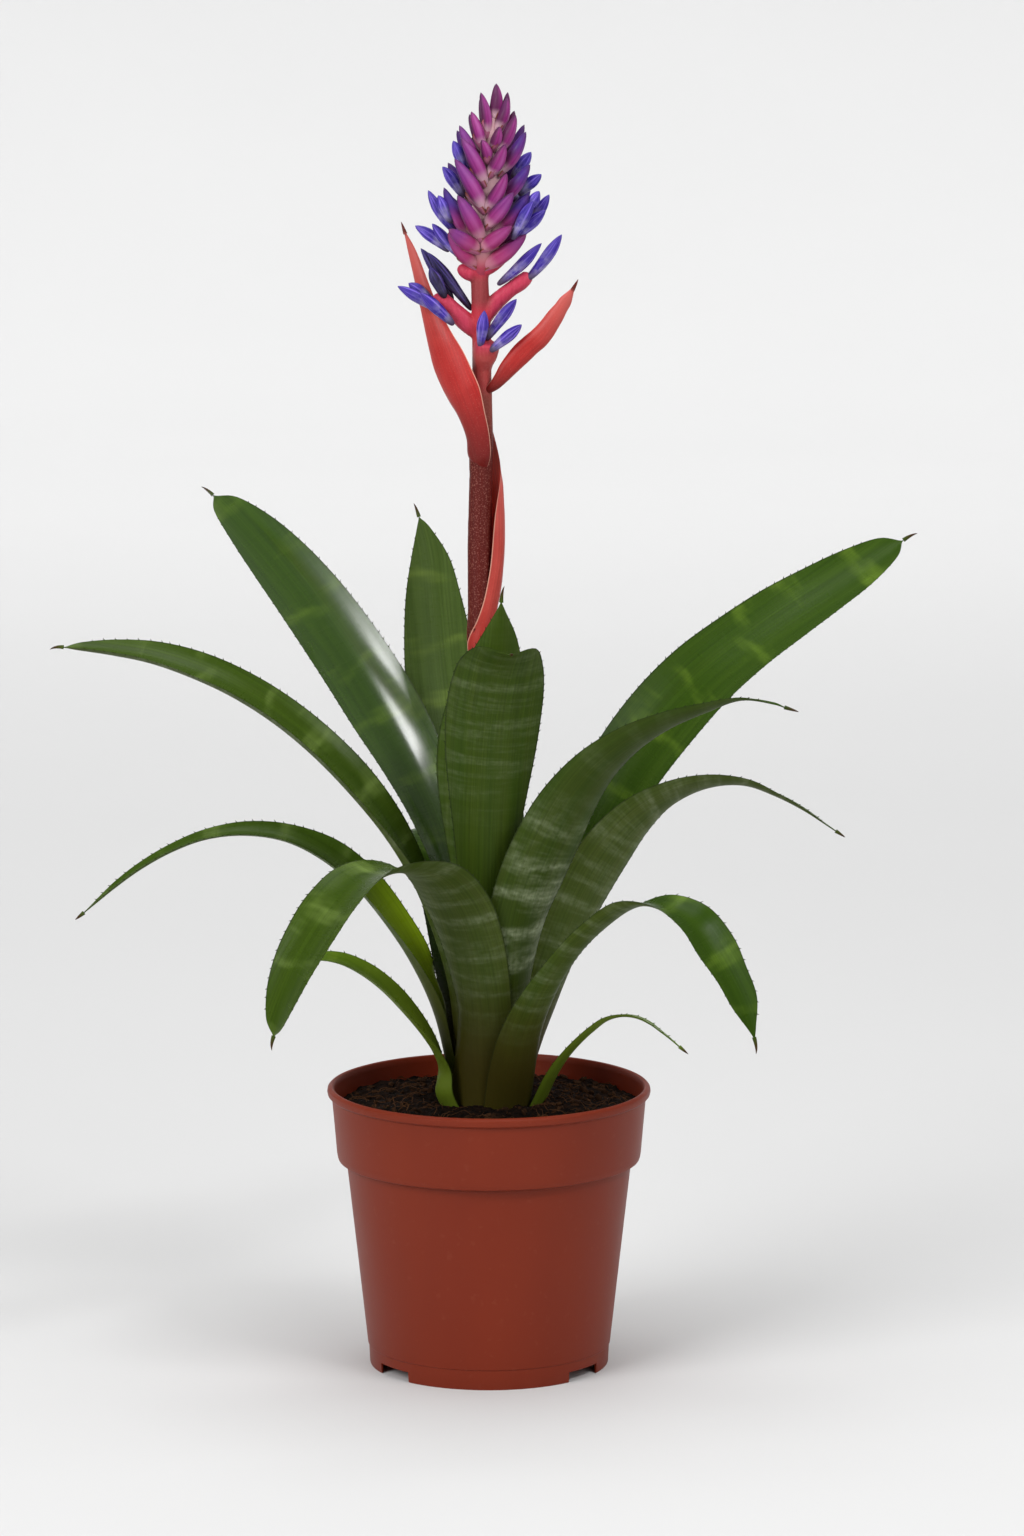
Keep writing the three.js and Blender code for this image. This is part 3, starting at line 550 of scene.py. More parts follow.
# A living bromeliad leaf: a thick waxy skin over close parallel veins. The face towards the plant is
# deep green and glossy with faint yellow-green bars; the face away from it is greyer and duller, with
# silvery cross bars of fine scales. Foot brown, edge dark, end spine brown. Upper and lit colour the
# first face and under the second; glow is painted backlight: a yellow painted on the first face near a
# young foot, where light shines through the blade.
def leaf_finish(name, upper, lit, under, bar, foot, bars, scales, foot_reach=75.0, zone=(0.2, 0.85),
                wax=0.0, painted_backlight=None, close_bars=0.16):
    finish, shader = finish_named(name)
    share = add(finish, "UVMap", uv_map="share").outputs[0]
    place = add(finish, "UVMap", uv_map="place").outputs[0]
    side = add(finish, "Attribute", attribute_name="under").outputs["Fac"]
    split = add(finish, "SeparateXYZ", {0: share})
    edge = add(finish, "Math", {0: split.outputs["X"]}, operation="ABSOLUTE").outputs[0]
    length = add(finish, "SeparateXYZ", {0: place}).outputs["Y"]
    # Veins lie 0.9 mm apart and wander over some 60 mm of length.
    lines = add(finish, "Mapping", {"Vector": place, "Scale": (1.1, 0.012, 1)}).outputs[0]
    vein = add(finish, "TexNoise",
               {"Vector": lines, "Scale": 1.0, "Detail": 3.0, "Roughness": 0.65}).outputs[0]
    wide = add(finish, "Mapping", {"Vector": place, "Scale": (0.16, 0.01, 1)}).outputs[0]
    stripe = add(finish, "TexNoise", {"Vector": wide, "Scale": 1.0, "Detail": 2.0}).outputs[0]
    # Bars cross the blade every 10 to 30 mm, broken up by the veins.
    cross = add(finish, "Mapping", {"Vector": place, "Scale": (0.018, 0.05, 1)}).outputs[0]
    blotch = add(finish, "TexNoise",
                 {"Vector": cross, "Scale": 1.0, "Detail": 3.0, "Roughness": 0.55}).outputs[0]
    close = add(finish, "Mapping", {"Vector": place, "Scale": (0.022, close_bars, 1)}).outputs[0]
    band = add(finish, "TexNoise",
               {"Vector": close, "Scale": 1.0, "Detail": 3.0, "Roughness": 0.6}).outputs[0]
    mottle = add(finish, "TexNoise", {"Vector": place, "Scale": 0.35, "Detail": 4.0}).outputs[0]

    light = add(finish, "MapRange", {0: blotch, 1: 0.52, 2: 0.74, 3: 0.0, 4: bars},
                interpolation_type="SMOOTHSTEP").outputs[0]
    streak = add(finish, "MapRange", {0: stripe, 1: 0.35, 2: 0.7, 3: 0.0, 4: 0.55}).outputs[0]
    top = add(finish, "Mix", {0: streak, 6: linear(upper), 7: linear(lit)}, data_type="RGBA").outputs[2]
    top = add(finish, "Mix", {0: light, 6: top, 7: linear(bar)}, data_type="RGBA").outputs[2]
    # Painted backlight: the yellow of light shining through the foot, painted on the first face.
    if painted_backlight:
        near = add(finish, "MapRange", {0: length, 1: 70.0, 2: 125.0, 3: 1.0, 4: 0.0},
                   interpolation_type="SMOOTHSTEP").outputs[0]
        top = add(finish, "Mix", {0: near, 6: top, 7: linear(painted_backlight)}, data_type="RGBA").outputs[2]
    silver = add(finish, "MapRange", {0: band, 1: 0.4, 2: 0.75, 3: 0.0, 4: 1.0},
                 interpolation_type="SMOOTHSTEP").outputs[0]
    patch = add(finish, "MapRange", {0: mottle, 1: 0.3, 2: 0.65, 3: 0.25, 4: 1.0}).outputs[0]
    silver = add(finish, "Math", {0: silver, 1: patch}, operation="MULTIPLY").outputs[0]
    first, last = zone
    start = add(finish, "MapRange",
                {0: split.outputs["Y"], 1: first - 0.12, 2: first + 0.08}).outputs[0]
    stop = add(finish, "MapRange", {0: split.outputs["Y"], 1: last - 0.05, 2: last + 0.15,
                                    3: scales, 4: 0.1 * scales}).outputs[0]
    silver = add(finish, "Math", {0: silver, 1: start}, operation="MULTIPLY").outputs[0]
    silver = add(finish, "Math", {0: silver, 1: stop}, operation="MULTIPLY").outputs[0]
    back = add(finish, "Mix", {0: streak, 6: linear(under), 7: linear(upper)},
               data_type="RGBA").outputs[2]
    back = add(finish, "Mix", {0: silver, 6: back, 7: linear("a0aa88")}, data_type="RGBA").outputs[2]
    colour = add(finish, "Mix", {0: side, 6: top, 7: back}, data_type="RGBA").outputs[2]
    fibre = add(finish, "MapRange", {0: vein, 1: 0.35, 2: 0.65, 3: 0.84, 4: 1.12}).outputs[0]
    colour = add(finish, "VectorMath", {0: colour, "Scale": fibre}, operation="SCALE").outputs[0]
    low = add(finish, "MapRange", {0: length, 1: foot_reach * 0.25, 2: foot_reach, 3: 0.9, 4: 0.0},
              interpolation_type="SMOOTHSTEP").outputs[0]
    colour = add(finish, "Mix", {0: low, 6: colour, 7: linear(foot)}, data_type="RGBA").outputs[2]
    rim = add(finish, "MapRange", {0: edge, 1: 0.955, 2: 0.99, 3: 0.0, 4: 0.6}).outputs[0]
    colour = add(finish, "Mix", {0: rim, 6: colour, 7: linear("1d2612")}, data_type="RGBA").outputs[2]
    tip = add(finish, "MapRange", {0: split.outputs["Y"], 1: 0.99, 2: 1.1, 3: 0.0, 4: 1.0}).outputs[0]
    colour = add(finish, "Mix", {0: tip, 6: colour, 7: linear("3f2a18")}, data_type="RGBA").outputs[2]
    shine = add(finish, "Mix", {0: side, 2: 0.28, 3: 0.5}).outputs[0]
    worn = add(finish, "MapRange", {0: silver, 1: 0.0, 2: 1.0, 3: 0.0, 4: -0.12}).outputs[0]
    shine = add(finish, "Math", {0: shine, 1: worn}, operation="ADD").outputs[0]
    relief = add(finish, "Bump", {"Height": vein, "Strength": 0.35, "Distance": 0.00035}).outputs[0]
    wire(finish, shader, Base_Color=colour, Roughness=shine, Normal=relief)
    shader.inputs["IOR"].default_value = 1.45
    shader.inputs["Specular IOR Level"].default_value = 0.1
    shader.inputs["Coat Weight"].default_value = wax
    shader.inputs["Coat Roughness"].default_value = 0.14
    return finish


deep = leaf_finish("leaf_skin_deep_green", "2a410a", "395012", "404d16", "6a862a", "3d3410", 0.5, 0.25)
waxed = leaf_finish("leaf_skin_waxed_green",
                    "2a430a", "395410", "404d16", "6a862a", "3d3410", 0.45, 0.25, wax=1.0)
fresh = leaf_finish("leaf_skin_fresh_green",
                    "2b4609", "3a5810", "405218", "829c38", "3a3a0c", 0.5, 0.15)
barred = leaf_finish("leaf_skin_silver_barred",
                     "2a400c", "374f12", "364412", "5f7a30", "3d3410", 0.4, 0.7,
                     zone=(0.18, 0.46), close_bars=0.085)
ringed = leaf_finish("leaf_skin_pale_ringed",
                     "2a400c", "374f12", "384812", "5f7a30", "3d3410", 0.4, 0.17,
                     zone=(0.66, 0.93), close_bars=0.2)
dusty = leaf_finish("leaf_skin_dusty_green",
                    "30440b", "405416", "434f1e", "768c46", "3d3410", 0.5, 0.26)
misty = leaf_finish("leaf_skin_misty_green", "3e5022", "4f6230", "45542a", "7a9040", "3d3410", 0.5, 0.3)
olive = leaf_finish("leaf_skin_olive",
                    "4c6818", "66801f", "5c6e2c", "869a3a", "5e701c", 0.45, 0.1, 110.0)
# This leaf's first face has painted backlight near its foot.
foot_backlight_painted = leaf_finish("leaf_skin_painted_translucent_foot",
                     "34490f", "465d20", "4d5b30", "7a8f4a", "47481a", 0.4, 0.15, 100.0,
                     painted_backlight="a8c824")
LEAVES = {"leaf_front_inner": (fresh, 5, (0.3, 0, 1)), "leaf_left_upper": (waxed, 4, (-1, 0, 0.55)),
          "leaf_back_upright": (misty, 4, (-0.45, 0, 1)), "leaf_right_upper": (deep, 4.5, (1, 0, 0.35)),
          "leaf_front_outer": (ringed, 2, None), "leaf_back_middle": (deep, 4, None),
          "leaf_left_middle": (dusty, 4, (-1, 0, -0.45)), "leaf_right_middle": (dusty, 2.5, None),
          "leaf_right_twisted": (barred, 4, None), "leaf_back_left": (deep, 4, None),
          "leaf_back_right": (deep, 4, None), "leaf_left_arching": (foot_backlight_painted, 2.5, None),
          "leaf_front_left": (dusty, 4, (0.05, 0, -1)), "leaf_front_right": (deep, 5, (0, 0, -1)),
          "leaf_left_low": (olive, 2.5, None), "leaf_right_low": (olive, 2.5, None)}
for name, (finish, spine, hook) in LEAVES.items():
    obj = blade(name, True, spine, hook, flare=0.35 if "low" in name else 0.0,
                drawn=1.0 if name in ("leaf_front_inner", "leaf_back_upright") else 0.0)
    placed(obj, finish, "leaf", name)


# --- The flower stem -----------------------------------------------------------------------------
# One grown stalk with two side arms and a front cup, round and a little ribbed, swelling red where
# the head sits on it. It is grown over from the CAD stalk so that its joints flow into each other.
alone(frame["nodes"]["flower_stem"])
bpy.ops.object.duplicate()
stem = bpy.context.object
stem.name = "flower_stem_stalk"
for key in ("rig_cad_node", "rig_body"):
    if key in stem:
        del stem[key]
stem.parent = None
closed_outward(stem)
HEAD_ACROSS, HEAD_HEIGHT = -3.6, 505.3                   # mm, where the stalk ends in the flower head
# Each swelling: to the right of, in front of and above that spot, its half sizes and its tilt.
SWELLS = [(-5.5, 1, 2.5, (5.2, 3.4, 3.2), 28), (6, 1, 6.5, (8.5, 3.6, 3), -38),
          (12, 1, 12.5, (6, 3.4, 2.6), -42), (0, 0, 0.5, (3.4, 3.4, 5), 0),
          (-15.6, 1, -12.3, (7, 3.6, 3.4), 40), (17.6, 0, -2.6, (7, 3.5, 3.2), -36),
          (0, 0, 6, (4.4, 4.2, 7), 0), (0, 0, -82, (4.9, 4.9, 30), 0)]
swells = []
for across, front, height, size, tilt in SWELLS:
    bpy.ops.mesh.primitive_uv_sphere_add(segments=24, ring_count=16, radius=1, location=(0, 0, 0))
    swell = bpy.context.object
    swell.data.transform(
        Matrix.Translation(((HEAD_ACROSS + across) * MM, -front * MM, (HEAD_HEIGHT + height) * MM))
        @ Matrix.Rotation(math.radians(tilt), 4, "Y")
        @ Matrix.Diagonal([half * MM for half in size] + [1]))
    swells.append(swell)
alone(stem, *swells)
bpy.ops.object.join()
applied(stem, "REMESH", mode="VOXEL", voxel_size=0.0006)
applied(stem, "SMOOTH", factor=0.5, iterations=12)
applied(stem, "DISPLACE", strength=0.45 * MM, mid_level=0)
alone(stem)
bpy.ops.object.shade_smooth()

# Young flower stalk: dark maroon skin thick with pale scales low down, turning to salmon and then to
# coral pink on the arms, with fine upright ribs and a soft wax sheen.
stalk, shader = finish_named("stalk_skin_scaly_maroon_to_coral")
place = add(stalk, "TexCoord").outputs["Object"]
height = add(stalk, "SeparateXYZ", {0: place}).outputs["Z"]
ribs = add(stalk, "Mapping", {"Vector": place, "Scale": (620, 620, 30)}).outputs[0]
rib = add(stalk, "TexNoise", {"Vector": ribs, "Scale": 1.0, "Detail": 3.0}).outputs[0]
# Scales are 0.3 mm across, drawn at 0.7 mm so that they show.
fleck = add(stalk, "TexNoise", {"Vector": place, "Scale": 1500.0, "Detail": 2.0}).outputs[0]
scale = add(stalk, "MapRange", {0: fleck, 1: 0.5, 2: 0.72}, interpolation_type="SMOOTHSTEP").outputs[0]
cloud = add(stalk, "TexNoise", {"Vector": place, "Scale": 160.0, "Detail": 2.0}).outputs[0]
colour = add(stalk, "Mix", {0: rib, 6: linear("460d0a"), 7: linear("621a13")},
             data_type="RGBA").outputs[2]
# Bands of colour up the stalk: each rises between two heights in metres, its ribs dark and light.
for low, high, tint, bright in (
        (0.428, 0.447, "74302a", "8a4238"), (0.449, 0.458, "982c2c", "b04e4c"),
        (0.472, 0.482, "a82434", "c43c4a"), (0.489, 0.496, "7a292b", "9c4246"),
        (0.503, 0.509, "9a1e32", "bc3850")):
    rise = add(stalk, "MapRange", {0: height, 1: low, 2: high},
               interpolation_type="SMOOTHSTEP").outputs[0]
    shade = add(stalk, "Mix", {0: rib, 6: linear(tint), 7: linear(bright)}, data_type="RGBA").outputs[2]
    colour = add(stalk, "Mix", {0: rise, 6: colour, 7: shade}, data_type="RGBA").outputs[2]
# The arms and the swellings, everything further out than the stalk itself, are crimson pink.
ring = add(stalk, "VectorMath", {0: place, 1: (-0.0038, 0, 0)}, operation="SUBTRACT").outputs[0]
ring = add(stalk, "VectorMath", {0: ring, 1: (1, 1, 0)}, operation="MULTIPLY").outputs[0]
ring = add(stalk, "VectorMath", {0: ring}, operation="LENGTH").outputs["Value"]
limb = add(stalk, "MapRange", {0: ring, 1: 0.0044, 2: 0.0075}).outputs[0]
above = add(stalk, "MapRange", {0: height, 1: 0.47, 2: 0.476}).outputs[0]
limb = add(stalk, "Math", {0: limb, 1: above}, operation="MULTIPLY").outputs[0]
pink = add(stalk, "Mix",
           {0: rib, 6: linear("a01f3b"), 7: linear("cc4660")}, data_type="RGBA").outputs[2]
colour = add(stalk, "Mix", {0: limb, 6: colour, 7: pink}, data_type="RGBA").outputs[2]
lower = add(stalk, "MapRange", {0: height, 1: 0.42, 2: 0.47, 3: 0.34, 4: 0.1}).outputs[0]
cover = add(stalk, "Math", {0: scale, 1: lower}, operation="MULTIPLY").outputs[0]
colour = add(stalk, "Mix", {0: cover, 6: colour, 7: linear("b8796a")}, data_type="RGBA").outputs[2]
relief = add(stalk, "Math", {0: rib, 1: fleck}, operation="ADD").outputs[0]
bump = add(stalk, "Bump", {"Height": relief, "Strength": 0.4, "Distance": 0.0004}).outputs[0]
sheen = add(stalk, "MapRange", {0: cloud, 1: 0.3, 2: 0.7, 3: 0.42, 4: 0.58}).outputs[0]
wire(stalk, shader, Base_Color=colour, Roughness=sheen, Normal=bump)
shader.inputs["IOR"].default_value = 1.42
shader.inputs["Specular IOR Level"].default_value = 0.25
placed(stem, stalk, "stem", "flower_stem")


# --- The bracts ----------------------------------------------------------------------------------
# Three boat-shaped bracts up the stalk: one that sheathes it and two that stand out below the
# flowers. They are thin coral-red leaves without teeth, with a pale papery edge and a dark point.
def bract_finish(name, face, lit, inside, foot):
    finish, shader = finish_named(name)
    share = add(finish, "UVMap", uv_map="share").outputs[0]
    place = add(finish, "UVMap", uv_map="place").outputs[0]
    side = add(finish, "Attribute", attribute_name="under").outputs["Fac"]
    split = add(finish, "SeparateXYZ", {0: share})
    edge = add(finish, "Math", {0: split.outputs["X"]}, operation="ABSOLUTE").outputs[0]
    lines = add(finish, "Mapping", {"Vector": place, "Scale": (1.3, 0.02, 1)}).outputs[0]
    vein = add(finish, "TexNoise",
               {"Vector": lines, "Scale": 1.0, "Detail": 3.0, "Roughness": 0.6}).outputs[0]
    cloud = add(finish, "TexNoise", {"Vector": place, "Scale": 0.12, "Detail": 3.0}).outputs[0]
    fleck = add(finish, "TexNoise", {"Vector": place, "Scale": 1.6, "Detail": 2.0}).outputs[0]
    outside = add(finish, "Mix",
                  {0: cloud, 6: linear(face), 7: linear(lit)}, data_type="RGBA").outputs[2]
    colour = add(finish, "Mix", {0: side, 6: linear(inside), 7: outside}, data_type="RGBA").outputs[2]
    fibre = add(finish, "MapRange", {0: vein, 1: 0.35, 2: 0.65, 3: 0.86, 4: 1.12}).outputs[0]
    colour = add(finish, "VectorMath", {0: colour, "Scale": fibre}, operation="SCALE").outputs[0]
    low = add(finish, "MapRange", {0: split.outputs["Y"], 1: 0.05, 2: 0.4, 3: 0.85, 4: 0.0},
              interpolation_type="SMOOTHSTEP").outputs[0]
    colour = add(finish, "Mix", {0: low, 6: colour, 7: linear(foot)}, data_type="RGBA").outputs[2]
    dots = add(finish, "MapRange", {0: fleck, 1: 0.6, 2: 0.8, 3: 0.0, 4: 0.18}).outputs[0]
    colour = add(finish, "Mix", {0: dots, 6: colour, 7: linear("e2a596")}, data_type="RGBA").outputs[2]
    paper = add(finish, "MapRange", {0: edge, 1: 0.95, 2: 0.985, 3: 0.0, 4: 0.6}).outputs[0]
    colour = add(finish, "Mix", {0: paper, 6: colour, 7: linear("e3b7a0")}, data_type="RGBA").outputs[2]
    blush = add(finish, "MapRange", {0: split.outputs["Y"], 1: 0.5, 2: 0.92, 3: 0.0, 4: 0.5}).outputs[0]
    colour = add(finish, "Mix", {0: blush, 6: colour, 7: linear("d0746c")}, data_type="RGBA").outputs[2]
    tip = add(finish, "MapRange", {0: split.outputs["Y"], 1: 0.955, 2: 1.02, 3: 0.0, 4: 1.0}).outputs[0]
    colour = add(finish, "Mix", {0: tip, 6: colour, 7: linear("5e2018")}, data_type="RGBA").outputs[2]
    waxy = add(finish, "MapRange", {0: cloud, 1: 0.3, 2: 0.7, 3: 0.36, 4: 0.5}).outputs[0]
    bump = add(finish, "Bump", {"Height": vein, "Strength": 0.3, "Distance": 0.0003}).outputs[0]
    wire(finish, shader, Base_Color=colour, Roughness=waxy, Normal=bump)
    shader.inputs["IOR"].default_value = 1.42
    shader.inputs["Specular IOR Level"].default_value = 0.3
    return finish


# The lowest bract wraps the stalk: its height, then the heading and reach of its near edge, its reach
# straight out to the right, and the heading of its far edge; in mm and in degrees round the stalk.
SHEATH = [(329, -100, 4.7, 4.7, 255), (339, -70, 5.8, 6.2, 250), (349, -12, 5.9, 7.2, 240),
          (357, 16, 5.9, 8.6, 230), (365, 34, 6.2, 10.2, 220), (373, 45, 6.9, 11.4, 212),
          (381, 49, 7.6, 12.0, 206), (389, 51, 8.2, 12.1, 200), (397, 54, 8.8, 11.9, 194),
          (404, 60, 9.4, 11.4, 188), (411, 70, 9.8, 10.6, 182), (417, 82, 9.9, 9.9, 176),
          (423, 94, 9.3, 9.3, 168), (428, 102, 8.4, 8.5, 158), (432.5, 110, 7.4, 7.6, 146)]
SHEATH_AXIS, SHEATH_TIP, SHEATH_THICK = (-4.2, 0.0), (1.4, 3.0, 437.0), 0.7


def wrapped(levels):
    """Stations of a bract that wraps the stalk, 12 points round from one edge, and its tip."""
    rows = []
    for z, near, edge_reach, side_reach, far in levels:
        def spot(share, out):
            heading = near + (far - near) * share
            if heading < 90:
                reach = edge_reach + (side_reach - edge_reach) * (heading - near) / max(90 - near, 1)
            else:
                reach = side_reach + (min(6.4, side_reach) - side_reach) * min(1, (heading - 90) / 100)
            turn = math.radians(heading)
            reach += out * SHEATH_THICK / 2
            return (SHEATH_AXIS[0] + reach * math.sin(turn), SHEATH_AXIS[1] - reach * math.cos(turn), z)
        rows.append([spot(k / 6, 0 if k in (0, 6) else 1) for k in range(7)]
                    + [spot(k / 6, -1) for k in (5, 4, 3, 2, 1)])
    return np.array(rows) * MM, np.array(SHEATH_TIP) * MM


coral = bract_finish("bract_skin_coral", "9e1e1d", "b6322d", "821614", "641614")
# The sheath's inside colour is painted light: much brighter than its outside, to lift the stalk's shadow
# on it.
sheath = bract_finish("bract_skin_sheath_painted_light_inside", "a8362f", "c04c42", "e0402e", "a02c26")
placed(blade("bract_left", False, 3, (-0.35, 0, 1), (1.6, 3.6, -6.5)), coral, "bract", "bract_left")
placed(blade("bract_right", False, 3, (0.5, 0, 1), (-5.6, 2.5, -4)), coral, "bract", "bract_right")
placed(blade("bract_sheath", False, 0, None, grown=wrapped(SHEATH)), sheath, "bract", "bract_sheath")


# --- The flower head -----------------------------------------------------------------------------
# A tight cone of pointed buds on one axis, each in three overlapping sepals and sitting in a thin
# scale with a dry orange-brown edge. Buds are grown alike, to each bud's place, length and girth.
HEAD_FOOT = Vector((HEAD_ACROSS * MM, 0, HEAD_HEIGHT * MM))
HEAD_LEAN, HEAD_DEPTH, HEAD_TOP = 0.075, 1.25, Vector((5.6, 0, 75)) * MM
# Each bud of the front: its foot, its tip, both across, to the front and up from the head's foot, and
# its girth, in mm. The same buds turned half round make the back.
BUDS = [((0.4, 0, 71.3), (0.6, 0, 86.6), 3), ((-2, 1.5, 63.6), (-5.8, 1, 82.4), 2.6),
        ((2.4, 1.5, 66.5), (5.8, 1, 80.3), 2.8), ((-3.2, 3, 58.8), (-9.3, 3, 74.2), 2.6),
        ((0.6, 3.5, 58.3), (3.4, 6.5, 68.1), 2.6), ((3, 3, 56.9), (10, 3.5, 72.5), 3),
        ((-0.2, 4, 52.5), (-3.7, 7.5, 62.3), 2.6), ((-3.5, 2.5, 49.1), (-13.9, 3, 67.7), 2.8),
        ((-0.7, 4, 42.4), (-12.5, 8, 62.3), 3.4), ((4, 2.5, 47.2), (14.8, 4.5, 65), 3.2),
        ((0.4, 4.5, 46.7), (6.3, 8.5, 60), 3.2), ((0, 4.5, 30.5), (-14.6, 7.5, 52.7), 3.7),
        ((4, 2.5, 33.7), (17.6, 5.5, 50.4), 3.3), ((0.6, 5, 31), (7.8, 10, 46.9), 3.3),
        ((-0.2, 4.5, 17.3), (-12.3, 11, 36.8), 3.8), ((-4, 2, 17.3), (-18.5, 5, 39.6), 3.4),
        ((0.4, 5, 23.6), (11.3, 11, 38.5), 3.6), ((3.5, 3, 20.2), (17.9, 6.5, 36.8), 3.6),
        ((-1.6, 4, 12.9), (-15.1, 10, 22.2), 3.8), ((-0.5, 4, 13.5), (11.6, 10, 23.7), 3.6),
        ((-2, 2, 5.3), (-15.2, 6, 19.9), 3.6), ((1, 2, 4.8), (18, 5, 19), 3.8)]


def spindle(base, tip, outline, girth, sides, ridges, groove, twist, bow, start=0.0):
    """A bud or scale from base to tip: rings of an outline of (share, width) pairs, grooved between
    its petals, with so many sides and ridges, a twist in turns and a bow as a share of its length.
    Returns its points, faces and the (round, along) share of each face's corners."""
    base, tip = Vector(base), Vector(tip)
    axis = tip - base
    ahead = axis.normalized()
    level = Vector((base.x - HEAD_FOOT.x, base.y - HEAD_FOOT.y, 0)) + ahead * 1e-4
    side = ahead.cross(level if level.cross(ahead).length > 1e-5 else Vector((0, 1, 0))).normalized()
    up = side.cross(ahead).normalized()
    rows = run_through(outline, 3)
    points, faces, marks = [], [], []
    for share, width in rows[1:-1].tolist():
        centre = base + axis * share + up * bow * axis.length * math.sin(math.pi * share)
        for i in range(sides):
            turn = start + math.tau * i / sides
            petal = abs((turn * ridges / math.tau + twist * share) % 1 - 0.5) * 2
            reach = girth * max(width, 0) * (1 - groove * petal ** 4 * (0.4 + share))
            points.append(centre + reach * (side * math.cos(turn) + up * math.sin(turn)))
    rings = len(rows) - 2
    points += [base, tip]
    for r in range(rings - 1):
        for i in range(sides):
            n = (i + 1) % sides
            faces.append((r * sides + i, r * sides + n, (r + 1) * sides + n, (r + 1) * sides + i))
            a, b = rows[r + 1][0], rows[r + 2][0]
            marks += [(i / sides, a), ((i + 1) / sides, a), ((i + 1) / sides, b), (i / sides, b)]
    for i in range(sides):
        n = (i + 1) % sides
        faces.append((rings * sides, n, i))
        marks += [(i / sides, 0), ((i + 1) / sides, rows[1][0]), (i / sides, rows[1][0])]
        top = (rings - 1) * sides
        faces.append((top + i, top + n, rings * sides + 1))
        marks += [(i / sides, rows[-2][0]), ((i + 1) / sides, rows[-2][0]), (i / sides, 1)]
    return points, faces, marks


def cupped(base, tip, girth, spread, length):
    """A thin scale that cups the outer side of a bud's foot."""
    base, tip = Vector(base), Vector(tip)
    axis = tip - base
    ahead = axis.normalized()
    out = Vector((tip.x - HEAD_FOOT.x, tip.y - HEAD_FOOT.y, 0))
    out = (out - ahead * out.dot(ahead) - Vector((0, 0, 1)) * 0.4 * out.length).normalized()
    side = ahead.cross(out).normalized()
    points, faces, marks = [], [], []
    rows, across = 9, 9
    for layer in (0, 1):
        for r in range(rows):
            share = r / (rows - 1)
            open_angle = spread * (1 - share ** 2.2) * (0.75 + 0.5 * share)
            ring = girth * (0.55 + 1.1 * share * (1 - 0.45 * share)) + (0.28 * MM if layer == 0 else 0)
            for c in range(across):
                turn = open_angle * (c / (across - 1) - 0.5)
                lift = axis * (share * length)
                points.append(base + lift + ring * (out * math.cos(turn) + side * math.sin(turn)))
    def at(layer, r, c):
        return layer * rows * across + r * across + c
    for r in range(rows - 1):
        for c in range(across - 1):
            for layer in (0, 1):
                corners = [(r, c), (r, c + 1), (r + 1, c + 1), (r + 1, c)]
                faces.append(tuple(at(layer, *corner) for corner in corners))
                marks += [(col / (across - 1), row / (rows - 1)) for row, col in corners]
    rim = [(0, c) for c in range(across)] + [(r, across - 1) for r in range(1, rows)]
    rim += [(rows - 1, c) for c in range(across - 2, -1, -1)] + [(r, 0) for r in range(rows - 2, 0, -1)]
    for a, b in zip(rim, rim[1:] + rim[:1]):
        faces.append((at(0, *a), at(0, *b), at(1, *b), at(1, *a)))
        marks += [(col / (across - 1), row / (rows - 1)) for row, col in (a, b, b, a)]
    return points, faces, marks


def gathered(name, parts):
    """One object from grown parts, each with the value of what kind it is and how blue it is."""
    points, faces, marks, kinds, blues = [], [], [], [], []
    for (own_points, own_faces, own_marks), kind, blue in parts:
        start = len(points)
        points += own_points
        faces += [tuple(start + i for i in f) for f in own_faces]
        marks += own_marks
        kinds += [kind] * len(own_faces)
        blues += [blue] * len(own_faces)
    obj = made(name, points, [], faces)
    obj.data.uv_layers.new(name="share").data.foreach_set("uv", np.array(marks, np.float32).ravel())
    obj.data.attributes.new("kind", "FLOAT", "FACE").data.foreach_set("value", kinds)
    obj.data.attributes.new("blue", "FLOAT", "FACE").data.foreach_set("value", blues)
    closed_outward(obj)
    alone(obj)
    bpy.ops.object.shade_smooth_by_angle(angle=math.radians(55))
    return obj


BUD_OUTLINE = [(0, 0), (0.03, 0.45), (0.13, 0.78), (0.3, 0.98), (0.48, 1.0), (0.66, 0.87), (0.82, 0.62),
               (0.93, 0.34), (1, 0)]
CORE_OUTLINE = [(0, 0), (0.02, 0.6), (0.15, 1), (0.4, 1), (0.7, 0.75), (0.93, 0.4), (1, 0)]
dice = random.Random(3)
parts = [(spindle(HEAD_FOOT, HEAD_FOOT + HEAD_TOP, CORE_OUTLINE, 6.4 * MM, 16, 3, 0, 0, 0), 2.0, 0.0)]
for i, (foot, point, girth) in enumerate(BUDS):
    for turn in (1, -1) if i else (1,):
        ends = [HEAD_FOOT + MM * Vector((HEAD_LEAN * up + across * turn, -front * turn * HEAD_DEPTH, up))
                for across, front, up in (foot, point)]
        ends = [ends[0], ends[1] + (ends[1] - ends[0]) * 0.08]
        if 15 < point[2] < 70:
            blue = max(0.0, min(1.0, (abs(point[0]) - 9) / 8)) * dice.uniform(0.5, 1)
        else:
            blue = dice.uniform(0, 0.15)
        parts.append((spindle(*ends, BUD_OUTLINE, girth * MM, 20, 3, 0.2, 0.35, 0.06), 0.0, blue))
        parts.append((cupped(*ends, girth * 0.98 * MM, 2.4, 0.5), 1.0, 0.0))
head = gathered("flower_head_buds", parts)
